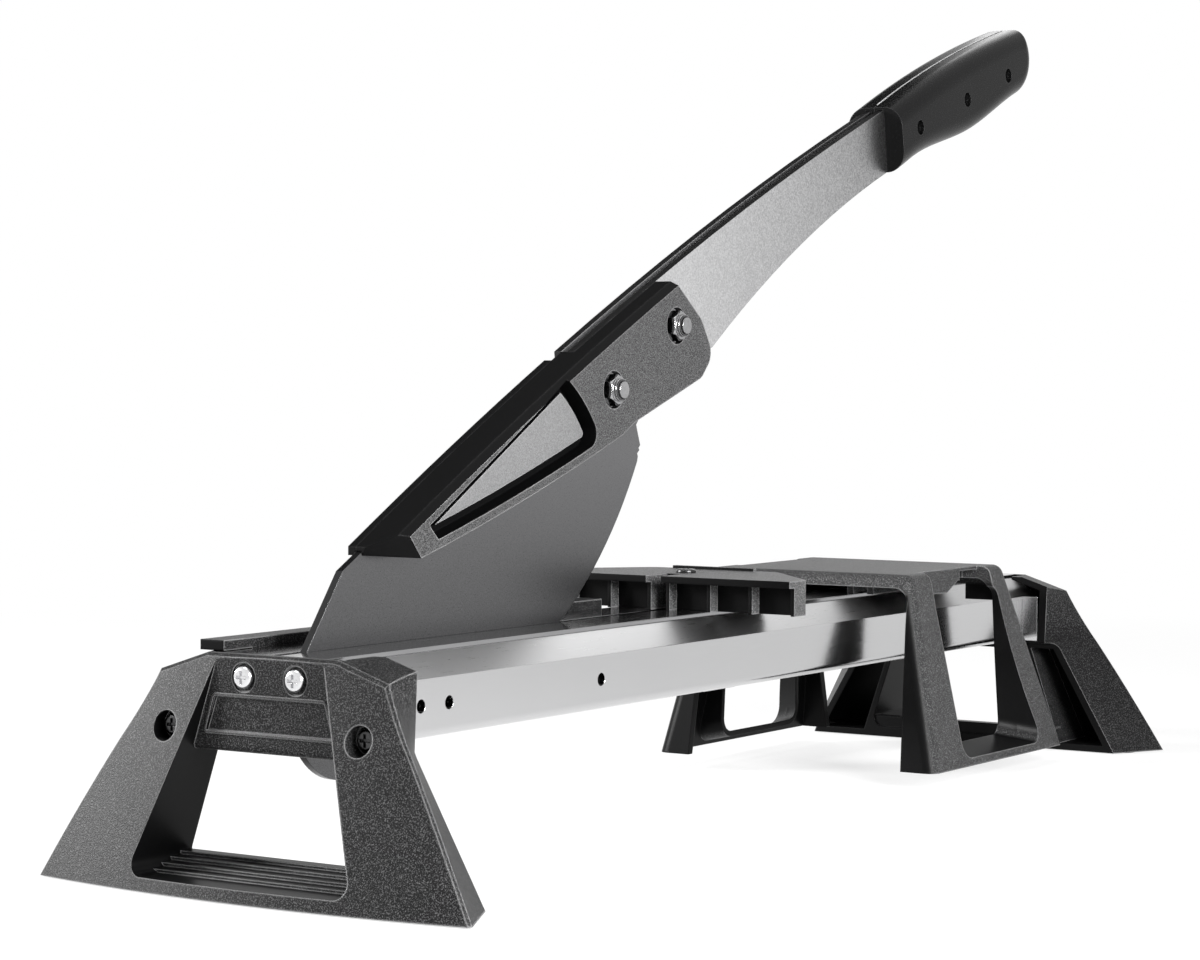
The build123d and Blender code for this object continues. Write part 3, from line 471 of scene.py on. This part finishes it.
@dataclass(frozen=True)
class GripPlastic:
    """Black plastic of the handle with a fine satin skin and a highlight painted on its rounded edges."""

    name: str
    colour: Colour = (0.0022, 0.0022, 0.0023)
    lighter: Colour = (0.005, 0.005, 0.0051)
    # Light colour painted on the rounded edges as a highlight, mixed in at edge_share
    edge: Colour = (0.06, 0.06, 0.061)
    edge_share: float = 0.6
    edge_radius: float = 0.0006
    smoothest: float = 0.18
    roughest: float = 0.3
    specular: float = 0.07
    skin_scale: float = 900.0
    cloud_scale: float = 16.0
    bump_share: float = 0.15
    height: float = 0.00006

    def material(self) -> bpy.types.Material:
        """Build the material.

        Returns:
            The finished material.
        """
        shader = Shader(self.name)
        skin = shader.noise(self.skin_scale)
        cloud = shader.noise(self.cloud_scale, detail=3.0)
        normal, edge = shader.rounded(self.edge_radius)
        body = shader.tint(cloud, self.colour, self.lighter)
        # Painted highlight: the rounded edges take part of the lighter edge colour
        shader.feed(
            Base_Color=shader.tint(shader.calc("MULTIPLY", edge, self.edge_share), body, self.edge),
            Roughness=shader.ramp(skin, *NOISE_SPAN, self.smoothest, self.roughest),
            Normal=shader.bump(skin, self.bump_share, self.height, normal),
        )
        shader.set(Specular_IOR_Level=self.specular)
        return shader.material


@dataclass(frozen=True)
class WorkedMetal:
    """Bare metal with fine lines of rolling or grinding along one axis."""

    name: str
    dark: Colour
    light: Colour
    roughness: float
    stretch: Point = (0.03, 1.0, 1.0)
    lines: float = 1800.0
    line_share: float = 0.4
    cloud_scale: float = 6.0
    cloud_span: Span = (0.25, 0.75)
    cloud_share: float = 0.6
    height: float = 0.000002
    bump_share: float = 0.3
    spread: float = 0.03
    edge_radius: float = 0.0006

    def body_colour(self, shader: Shader, lines: Socket, cloud: Socket) -> Socket:
        """Colour between the dark and the light tone.

        Args:
            shader: The material's node tree.
            lines: The fine lines.
            cloud: The slow cloudiness.

        Returns:
            The colour's socket.
        """
        slow = shader.ramp(cloud, *self.cloud_span, 0.0, self.cloud_share)
        tone = shader.calc("MULTIPLY_ADD", lines, self.line_share, slow)
        return shader.tint(tone, self.dark, self.light)

    def sheen(self, shader: Shader, lines: Socket) -> Socket:
        """Roughness that follows the fine lines.

        Args:
            shader: The material's node tree.
            lines: The fine lines.

        Returns:
            The roughness's socket.
        """
        return shader.ramp(lines, *NOISE_SPAN, self.roughness - self.spread, self.roughness + self.spread)

    def material(self) -> bpy.types.Material:
        """Build the material.

        Returns:
            The finished material.
        """
        shader = Shader(self.name)
        lines = shader.noise(self.lines, detail=3.0, stretch=self.stretch)
        cloud = shader.noise(self.cloud_scale, detail=3.0)
        normal, _ = shader.rounded(self.edge_radius)
        shader.feed(
            Base_Color=self.body_colour(shader, lines, cloud),
            Roughness=self.sheen(shader, lines),
            Normal=shader.bump(lines, self.bump_share, self.height, normal),
        )
        shader.set(Metallic=1.0)
        return shader.material


@dataclass(frozen=True)
class ShadedMetal(WorkedMetal):
    """Speckled plate metal with painted shade: its tone falls off along one axis, and its narrow edges are
    painted dark for the dark reflections they show.
    """

    axis: int = 0
    # Dark colour painted on the narrow edges for the dark reflections they show
    painted_edge_dark: Colour = (0.03, 0.03, 0.0305)
    rim_turn: Span = (0.9, 0.6)
    bright_end: float = 0.0
    dark_end: float = 0.2
    shade: float = 0.35

    def body_colour(self, shader: Shader, lines: Socket, cloud: Socket) -> Socket:
        """Colour with painted shade, falling off along the axis and dark on the narrow edges.

        Args:
            shader: The material's node tree.
            lines: The fine speckle.
            cloud: The slow cloudiness, which this colour doesn't follow.

        Returns:
            The colour's socket.
        """
        # Painted shade: the tone falls from the bright end to the dark end
        fall = shader.ramp(shader.parts("Object")[self.axis], self.bright_end, self.dark_end)
        speckle = shader.ramp(lines, *NOISE_SPAN)
        shaded = tuple(part * self.shade for part in self.dark)
        bright = shader.tint(speckle, self.dark, self.light)
        face = shader.tint(fall, bright, shader.tint(speckle, shaded, self.dark))
        # Painted reflection: the narrow edges take the dark edge colour
        _, across, _ = shader.parts("Normal")
        painted_edge_dark = shader.ramp(shader.calc("ABSOLUTE", across), *self.rim_turn)
        return shader.tint(painted_edge_dark, face, self.painted_edge_dark)


@dataclass(frozen=True)
class RailMetal(WorkedMetal):
    """Drawn metal of the rails, rougher on the bevel than on the flat faces, and darker there as painted
    shade.
    """

    bevel_extra: float = 0.17
    bevel_shade: float = 0.82
    bevel_from: Span = (0.76, 0.8)
    bevel_to: Span = (0.9, 0.86)

    def bevel(self, shader: Shader) -> Socket:
        """Mask of the bevel.

        Args:
            shader: The material's node tree.

        Returns:
            The mask's socket, 1 on the bevel.
        """
        _, _, up = shader.parts("Normal")
        return shader.calc("MULTIPLY", shader.ramp(up, *self.bevel_from), shader.ramp(up, *self.bevel_to))

    def body_colour(self, shader: Shader, lines: Socket, cloud: Socket) -> Socket:
        """Colour that is darker on the bevel, as painted shade.

        Args:
            shader: The material's node tree.
            lines: The fine lines.
            cloud: The slow cloudiness.

        Returns:
            The colour's socket.
        """
        # Painted shade: the bevel takes a darker copy of the rail's colour
        shaded = tuple(part * self.bevel_shade for part in self.dark)
        return shader.tint(self.bevel(shader), super().body_colour(shader, lines, cloud), shaded)

    def sheen(self, shader: Shader, lines: Socket) -> Socket:
        """Roughness that is raised on the bevel.

        Args:
            shader: The material's node tree.
            lines: The fine lines.

        Returns:
            The roughness's socket.
        """
        even = super().sheen(shader, lines)
        return shader.calc("MULTIPLY_ADD", self.bevel(shader), self.bevel_extra, even)


@dataclass(frozen=True)
class SoftRubber:
    """Matt black rubber."""

    name: str
    dark: Colour = (0.008, 0.008, 0.008)
    light: Colour = (0.03, 0.03, 0.03)
    roughness: float = 0.8
    dust_scale: float = 300.0
    bump_share: float = 0.4
    height: float = 0.0002

    def material(self) -> bpy.types.Material:
        """Build the material.

        Returns:
            The finished material.
        """
        shader = Shader(self.name)
        dust = shader.noise(self.dust_scale, detail=4.0)
        shader.feed(
            Base_Color=shader.tint(dust, self.dark, self.light),
            Normal=shader.bump(dust, self.bump_share, self.height),
        )
        shader.set(Roughness=self.roughness)
        return shader.material


Finish = GrainedPlastic | GripPlastic | WorkedMetal | SoftRubber


def plated(name: str, dark: Colour, light: Colour, roughness: float) -> WorkedMetal:
    """Zinc-plated metal of a fastener, with a pattern that runs no way in particular.

    Args:
        name: The finish's name.
        dark: Its dark tone.
        light: Its light tone.
        roughness: Its roughness.

    Returns:
        The finish.
    """
    return WorkedMetal(name, dark, light, roughness, stretch=EVEN, lines=700.0, height=0.00001)


FOOT_PLASTIC = GrainedPlastic("grained_foot", Skin.FOOT)
LEDGE_PLASTIC = GrainedPlastic("grained_ledge", Skin.FENCE)
# Painted reflection: lighter flecks than on the feet, for the sheen on the fence's top
FENCE_PLASTIC = GrainedPlastic(
    "grained_fence", Skin.FENCE, dark=(0.035, 0.035, 0.0355), light=(0.24, 0.24, 0.242)
)
# Painted reflection: lighter flecks than on the feet, for the sheen on the bridge's top
BRIDGE_PLASTIC = GrainedPlastic(
    "grained_bridge", Skin.BRIDGE, dark=(0.02, 0.02, 0.0203), light=(0.15, 0.15, 0.1515), height=0.0001
)
COVER_PLASTIC = CoverPlastic("grained_cover", Skin.COVER)

GRIP_PLASTIC = GripPlastic("satin_grip")
# Light grey of the seam line is a painted highlight on the real seam of the black grip
SEAM_HIGHLIGHT_PLASTIC = GripPlastic("grip_seam_highlight", colour=(0.35, 0.35, 0.352), lighter=(0.5, 0.5, 0.502))
RING_PLASTIC = GripPlastic("lock_ring", colour=(0.02, 0.02, 0.0205), lighter=(0.04, 0.04, 0.041))

RAIL_METAL = RailMetal("satin_rail", dark=(0.52, 0.52, 0.525), light=(0.58, 0.58, 0.585), roughness=0.13)
BED_STEEL = WorkedMetal("bed_steel", dark=(0.26, 0.26, 0.265), light=(0.4, 0.4, 0.405), roughness=0.14)
# Painted shade: the blade's tone falls off towards the bottom and its narrow edges are painted dark
BLADE_STEEL = ShadedMetal(
    "blade_steel",
    dark=(0.14, 0.14, 0.143),
    light=(0.19, 0.19, 0.194),
    roughness=0.3,
    stretch=EVEN,
    lines=2400.0,
    axis=2,
    bright_end=0.18,
    dark_end=0.1,
    shade=0.45,
)

BRIGHT_ZINC = plated("bright_zinc", (0.55, 0.55, 0.56), (0.85, 0.85, 0.86), 0.16)
NUT_ZINC = plated("nut_zinc", (0.22, 0.22, 0.225), (0.5, 0.5, 0.505), 0.18)
SHADED_ZINC = plated("shaded_zinc", (0.03, 0.03, 0.031), (0.09, 0.09, 0.091), 0.25)

PAD_RUBBER = SoftRubber("pad_rubber")


@dataclass
class Wardrobe:
    """Makes each finish once and puts it on nodes and pieces."""

    nodes: dict[str, bpy.types.Object]
    made: dict[str, bpy.types.Material] = field(default_factory=dict)

    def material(self, finish: Finish) -> bpy.types.Material:
        """The finish's material, made at its first use.

        Args:
            finish: The finish.

        Returns:
            Its material.
        """
        if finish.name not in self.made:
            self.made[finish.name] = finish.material()
        return self.made[finish.name]

    def dress(self, finish: Finish, *names: str) -> None:
        """Give carried-over nodes one finish.

        Args:
            finish: The finish.
            names: The nodes' names.
        """
        for name in names:
            slots = self.nodes[name].data.materials
            slots.clear()
            slots.append(self.material(finish))
            LOG.info("dressed %s in %s", name, finish.name)

    def place(self, piece: bpy.types.Object, finish: Finish, body: Body, slot: Slot) -> None:
        """Give a new piece its finish and let it ride a body.

        Args:
            piece: The new piece, in its place.
            finish: Its finish.
            body: The body that it rides.
            slot: The record's slot that its finish belongs to; not used.
        """
        piece.data.materials.append(self.material(finish))
        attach(piece, body.value)
        LOG.info("built %s on %s", piece.name, body.value)


def name_piece(name: str) -> bpy.types.Mesh:
    """Name the object just added.

    Args:
        name: The piece's name.

    Returns:
        The piece's mesh.
    """
    piece = bpy.context.active_object
    piece.name = name
    piece.data.name = name
    return piece.data


def raise_face(rise: Point) -> None:
    """Pull all of the active mesh up into a closed solid, in edit mode.

    Args:
        rise: How far and which way it stands up.
    """
    bpy.ops.mesh.select_all(action="SELECT")
    bpy.ops.mesh.extrude_region_move(TRANSFORM_OT_translate={"value": rise})
    bpy.ops.mesh.select_all(action="SELECT")
    bpy.ops.mesh.normals_make_consistent(inside=False)


def raise_ring(width: float, rise: Point, soft: float) -> bpy.types.Object:
    """Turn the active flat piece into a raised ring with soft edges.

    Args:
        width: The ring's width.
        rise: How far and which way it stands up.
        soft: Radius of its edges.

    Returns:
        The finished piece.
    """
    bpy.ops.object.mode_set(mode="EDIT")
    bpy.ops.mesh.select_all(action="SELECT")
    bpy.ops.mesh.inset(thickness=width, use_even_offset=True)
    bpy.ops.mesh.delete(type="FACE")
    raise_face(rise)
    bpy.ops.object.mode_set(mode="OBJECT")
    return soften(soft)


def soften(radius: float) -> bpy.types.Object:
    """Round the edges of the active piece.

    Args:
        radius: Radius of its edges.

    Returns:
        The finished piece.
    """
    piece = bpy.context.active_object
    bevel = piece.modifiers.new("soft_edges", "BEVEL")
    bevel.width = radius
    bevel.segments = SOFT_SEGMENTS
    bevel.limit_method = "ANGLE"
    bpy.ops.object.modifier_apply(modifier=bevel.name)
    bpy.ops.object.shade_smooth_by_angle(angle=SMOOTH_ANGLE)
    return piece


@dataclass
class BaseAssembly:
    """Feet, rails, bed strips, fence and their fasteners."""

    wardrobe: Wardrobe
    front_edge: float
    base_length: float = 0.69
    panel_back: float = 0.0165
    recess_low: float = 0.0673
    recess_high: float = 0.082
    recess_low_half: float = 0.034
    recess_high_half: float = 0.0289
    bead_width: float = 0.0014
    bead_rise: float = 0.0007
    bead_corner: float = 0.0022
    bead_corner_steps: int = 5

    def panel_bead(self, name: str, plane: float, facing: float) -> bpy.types.Object:
        """Build the low bead around the recess in a foot's panel.

        Args:
            name: The bead's name.
            plane: Where the panel's face lies along X.
            facing: The way that the panel faces along X, -1 or 1.

        Returns:
            The finished bead.
        """
        bpy.ops.object.select_all(action="DESELECT")
        bpy.ops.mesh.primitive_plane_add(size=1.0)
        for corner in name_piece(name).vertices:
            low = corner.co.y < 0.0
            half = self.recess_low_half if low else self.recess_high_half
            height = self.recess_low - self.bead_width if low else self.recess_high + self.bead_width
            corner.co = (plane, math.copysign(half + self.bead_width, corner.co.x), height)
        bpy.ops.object.mode_set(mode="EDIT")
        bpy.ops.mesh.select_all(action="SELECT")
        bpy.ops.mesh.bevel(offset=self.bead_corner, segments=self.bead_corner_steps, affect="VERTICES")
        bpy.ops.object.mode_set(mode="OBJECT")
        rise = (facing * self.bead_rise, 0.0, 0.0)
        return raise_ring(self.bead_width, rise, self.bead_rise * RING_SOFTNESS)

    def build(self) -> None:
        """Dress the base and add the beads on its panels."""
        front_panel = self.front_edge + self.panel_back
        rear_panel = self.front_edge + self.base_length - self.panel_back
        for end, plane, facing in (("front", front_panel, -1.0), ("rear", rear_panel, 1.0)):
            bead = self.panel_bead(f"panel_bead_{end}", plane, facing)
            self.wardrobe.place(bead, FOOT_PLASTIC, Body.BASE, Slot.BLACK_PLASTIC)
        dress = self.wardrobe.dress
        dress(FOOT_PLASTIC, "front_foot", "rear_foot")
        dress(FENCE_PLASTIC, "fence")
        dress(LEDGE_PLASTIC, "far_ledge")
        dress(RAIL_METAL, "rail_near", "rail_far", "rail_spacers", "rail_clamps")
        dress(BED_STEEL, "bed_strip_near", "bed_strip_far")
        dress(BRIGHT_ZINC, "front_panel_screws", "rear_panel_screws", "fence_clamp_plate")
        dress(BRIGHT_ZINC, "pivot_bolt", "pivot_nut", "thrust_washers")
        dress(SHADED_ZINC, "leg_screws", "fence_screw")
        dress(PAD_RUBBER, "foot_pads")


@dataclass
class LeverAssembly:
    """Blade, arm plates, spine covers, grip and their fasteners."""

    wardrobe: Wardrobe
    pivot: Vector
    arm_start: float = 0.27
    arm_grip: float = 0.48
    nut_spots: tuple[Spot, ...] = ((0.1878, 0.1323), (0.2443, 0.1635))
    nut_end: float = -0.0221
    ring_outer: float = 0.0051
    ring_width: float = 0.0009
    ring_rise: float = 0.0004
    ring_steps: int = 40
    seam_steps: int = 40
    seam_half: float = 0.0005
    seam_rise: float = 0.00025
    seam_margin: float = 0.004
    probe_rise: float = 0.1

    def arm_metal(self) -> ShadedMetal:
        """Blasted metal of the arms, with painted shade that darkens it towards the grip.

        Returns:
            The finish.
        """
        return ShadedMetal(
            "blasted_arm",
            dark=(0.44, 0.44, 0.445),
            light=(0.68, 0.68, 0.685),
            roughness=0.34,
            stretch=EVEN,
            lines=1300.0,
            bright_end=self.pivot.x + self.arm_start,
            dark_end=self.pivot.x + self.arm_grip,
        )

    def lock_ring(self, name: str, spot: Spot) -> bpy.types.Object:
        """Build the insert ring of a lock nut.

        Args:
            name: The ring's name.
            spot: The nut's place from the pivot.

        Returns:
            The finished ring.
        """
        centre_x, centre_z = self.pivot.x + spot[0], self.pivot.z + spot[1]
        bpy.ops.object.select_all(action="DESELECT")
        bpy.ops.mesh.primitive_circle_add(vertices=self.ring_steps, radius=self.ring_outer, fill_type="NGON")
        for vertex in name_piece(name).vertices:
            flat = vertex.co.copy()
            vertex.co = (centre_x + flat.x, self.nut_end, centre_z + flat.y)
        rise = (0.0, -self.ring_rise, 0.0)
        return raise_ring(self.ring_width, rise, self.ring_rise * RING_SOFTNESS)

    def grip_seam_highlight(self) -> bpy.types.Object:
        """Build the fine raised line where the two halves of the grip meet along its top, coloured light
        grey as a painted highlight.

        Returns:
            The finished line.
        """
        half = self.wardrobe.nodes["handle_half_near"]
        low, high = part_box("handle_half_near")
        start, end = low[0] + self.seam_margin, high[0] - self.seam_margin
        above = high[2] + self.probe_rise
        bpy.ops.object.select_all(action="DESELECT")
        bpy.ops.mesh.primitive_grid_add(x_subdivisions=self.seam_steps, y_subdivisions=1, size=2.0)
        for vertex in name_piece("grip_seam_highlight").vertices:
            along = start + (end - start) * (vertex.co.x + 1.0) / 2
            _, spot, _, _ = half.ray_cast((along, -self.seam_half, above), (0.0, 0.0, -1.0))
            vertex.co = (along, math.copysign(self.seam_half, vertex.co.y), spot.z)
        bpy.ops.object.mode_set(mode="EDIT")
        raise_face((0.0, 0.0, self.seam_rise))
        bpy.ops.object.mode_set(mode="OBJECT")
        return soften(self.seam_rise * SEAM_SOFTNESS)

    def build(self) -> None:
        """Dress the lever and add the rings of its lock nuts and the seam line of its grip, which carries a
        painted highlight.
        """
        for index, spot in enumerate(self.nut_spots, 1):
            ring = self.lock_ring(f"lock_ring_{index}", spot)
            self.wardrobe.place(ring, RING_PLASTIC, Body.LEVER, Slot.BLACK_PLASTIC)
        self.wardrobe.place(self.grip_seam_highlight(), SEAM_HIGHLIGHT_PLASTIC, Body.LEVER, Slot.HANDLE_PLASTIC)
        dress = self.wardrobe.dress
        dress(COVER_PLASTIC, "spine_cover_near", "spine_cover_far")
        dress(GRIP_PLASTIC, "handle_half_near", "handle_half_far")
        dress(BLADE_STEEL, "blade")
        dress(self.arm_metal(), "arm_plate_near", "arm_plate_far")
        dress(BRIGHT_ZINC, "cover_screws", "handle_screws")
        dress(NUT_ZINC, "arm_bolts", "arm_nuts")


@dataclass
class BridgeAssembly:
    """The sliding support bridge."""

    wardrobe: Wardrobe

    def build(self) -> None:
        """Dress the bridge."""
        self.wardrobe.dress(BRIDGE_PLASTIC, "support_bridge")


@dataclass(frozen=True)
class SoftLamp:
    """A rectangular lamp with its place, the point it faces, its size, and its power in watts."""

    name: str
    place: Point
    aim: Point
    size: Span
    power: float

    def hang(self) -> None:
        """Hang the lamp in the scene."""
        data = bpy.data.lights.new(self.name, "AREA")
        data.shape = "RECTANGLE"
        data.size, data.size_y = self.size
        data.energy = self.power
        lamp = bpy.data.objects.new(self.name, data)
        lamp.location = self.place
        lamp.rotation_euler = (Vector(self.aim) - Vector(self.place)).to_track_quat("-Z", "Y").to_euler()
        bpy.context.scene.collection.objects.link(lamp)


LAMPS = (
    SoftLamp(
        "far_side_lamp", place=(-1.3, 2.0, 0.8), aim=(-0.34, 0.05, 0.06), size=(0.8, 0.6), power=125.0
    ),
    SoftLamp(
        "near_side_lamp", place=(-0.45, -0.95, 0.45), aim=(-0.25, 0.0, 0.12), size=(0.5, 0.4), power=27.0
    ),
    SoftLamp(
        "top_lamp", place=(0.0, 0.25, 1.7), aim=(0.0, 0.0, 0.1), size=(1.4, 0.8), power=12.0
    ),
    SoftLamp(
        "edge_lamp", place=(1.2, 0.32, 0.88), aim=(0.2, 0.0, 0.3), size=(0.3, 0.5), power=1.0
    ),
)


def matt_paint(name: str, grey: float, roughness: float) -> Shader:
    """Start a plain matt grey for a studio surface.

    Args:
        name: The material's name.
        grey: How light it is.
        roughness: Its roughness.

    Returns:
        The material's node tree.
    """
    shader = Shader(name)
    shader.set(Base_Color=(grey, grey, grey, 1.0), Roughness=roughness, Specular_IOR_Level=0.0)
    return shader


@dataclass
class Studio:
    """Floor, light and camera."""

    front_edge: float
    floor_half: float = 6.0
    floor_near: float = 0.45
    floor_far: float = 1.3
    floor_glow: float = 0.72
    floor_grey: float = 0.9
    floor_roughness: float = 0.9
    world_light: float = 0.16
    card_size: float = 1.7
    card_place: Point = (0.9, 1.15, 1.75)
    card_facing: Point = (-0.42, -0.55, -0.73)
    card_grey: float = 0.01
    camera_back: Point = (-0.97693, -0.81216, 0.21868)
    camera_yaw: float = 0.5783
    camera_tilt: float = 0.03537
    camera_roll: float = 0.0027
    camera_reach: float = 50.0
    focal_pixels: float = 3083.1
    image_width: float = 1200.0
    sensor: float = 36.0

    def build(self) -> None:
        """Set up the floor, the world, the lamps, the card and the camera."""
        self.lay_floor()
        self.light_world()
        for lamp in LAMPS:
            lamp.hang()
        self.hang_card()
        self.set_camera()
        bpy.context.scene.view_settings.view_transform = "Standard"

    def lay_floor(self) -> None:
        """Lay a wide white floor that keeps the soft shadow near the cutter."""
        bpy.ops.object.select_all(action="DESELECT")
        bpy.ops.mesh.primitive_plane_add(size=2.0 * self.floor_half)
        floor = bpy.context.active_object
        floor.name = "studio_floor"
        shader = matt_paint("studio_floor", self.floor_grey, self.floor_roughness)
        light = shader.node("ShaderNodeLightPath")
        glow = shader.node("ShaderNodeEmission", Color=(1.0, 1.0, 1.0, 1.0), Strength=1.0)
        seen = shader.most(*(light.outputs[ray] for ray in SEEN_RAYS))
        reach = shader.node("ShaderNodeVectorMath", operation="LENGTH")
        shader.link(shader.place.outputs["Object"], reach.inputs[0])
        white = shader.ramp(reach.outputs["Value"], self.floor_near, self.floor_far, self.floor_glow, 1.0)
        mix = shader.node("ShaderNodeMixShader")
        shader.link(shader.calc("MULTIPLY", seen, white), mix.inputs[0])
        shader.link(shader.surface.outputs["BSDF"], mix.inputs[1])
        shader.link(glow.outputs["Emission"], mix.inputs[2])
        shader.link(mix.outputs[0], shader.output.inputs["Surface"])
        floor.data.materials.append(shader.material)

    def light_world(self) -> None:
        """Make the world white where it is seen and softer as a light."""
        world = bpy.data.worlds.new("studio_world")
        bpy.context.scene.world = world
        world.use_nodes = True
        tree = world.node_tree
        tree.nodes.clear()
        out = tree.nodes.new("ShaderNodeOutputWorld")
        path = tree.nodes.new("ShaderNodeLightPath")
        mix = tree.nodes.new("ShaderNodeMixShader")
        seen = path.outputs[SEEN_RAYS[0]]
        for ray in SEEN_RAYS[1:]:
            either = tree.nodes.new("ShaderNodeMath")
            either.operation = "MAXIMUM"
            tree.links.new(seen, either.inputs[0])
            tree.links.new(path.outputs[ray], either.inputs[1])
            seen = either.outputs[0]
        tree.links.new(seen, mix.inputs[0])
        for index, grey in ((1, self.world_light), (2, 1.0)):
            background = tree.nodes.new("ShaderNodeBackground")
            background.inputs["Color"].default_value = (grey, grey, grey, 1.0)
            tree.links.new(background.outputs[0], mix.inputs[index])
        tree.links.new(mix.outputs[0], out.inputs["Surface"])

    def hang_card(self) -> None:
        """Hang a black card that keeps the upper edges of the lever dark in reflections."""
        bpy.ops.object.select_all(action="DESELECT")
        bpy.ops.mesh.primitive_plane_add(size=self.card_size, location=self.card_place)
        card = bpy.context.active_object
        card.name = "black_card"
        card.rotation_euler = Vector(self.card_facing).to_track_quat("Z", "Y").to_euler()
        card.data.materials.append(matt_paint("black_card", self.card_grey, 1.0).material)
        card.visible_camera = False
        card.visible_diffuse = False
        card.visible_shadow = False

    def set_camera(self) -> None:
        """Place the camera at the photograph's viewing angle."""
        data = bpy.data.cameras.new("photo_camera")
        data.sensor_width = self.sensor
        data.sensor_fit = "HORIZONTAL"
        data.lens = self.focal_pixels * self.sensor / self.image_width
        data.clip_end = self.camera_reach
        camera = bpy.data.objects.new("photo_camera", data)
        camera.location = Vector(self.camera_back) + Vector((self.front_edge, 0.0, 0.0))
        level = math.cos(self.camera_tilt)
        look = Vector(
            (
                math.cos(self.camera_yaw) * level,
                math.sin(self.camera_yaw) * level,
                -math.sin(self.camera_tilt),
            )
        )
        turned = look.to_track_quat("-Z", "Y") @ Quaternion((0.0, 0.0, 1.0), self.camera_roll)
        camera.rotation_euler = turned.to_euler()
        bpy.context.scene.collection.objects.link(camera)
        bpy.context.scene.camera = camera


def pivot_place(frame: dict) -> Vector:
    """Where the lever's pivot lies at rest.

    Args:
        frame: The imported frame.

    Returns:
        The pivot's place in metres.
    """
    joints = {joint["name"]: joint for joint in frame["record"]["behaviour"]["joints"]}
    return Vector(joints[PIVOT_JOINT]["pos_m"])


def main() -> None:
    """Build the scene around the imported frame."""
    logging.basicConfig(level=logging.INFO, format="%(name)s: %(message)s")
    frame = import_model()
    pivot = pivot_place(frame)
    front_edge = pivot.x - PIVOT_BACK
    wardrobe = Wardrobe(frame["nodes"])
    BaseAssembly(wardrobe, front_edge).build()
    LeverAssembly(wardrobe, pivot).build()
    BridgeAssembly(wardrobe).build()
    Studio(front_edge).build()


if __name__ == "__main__":
    main()
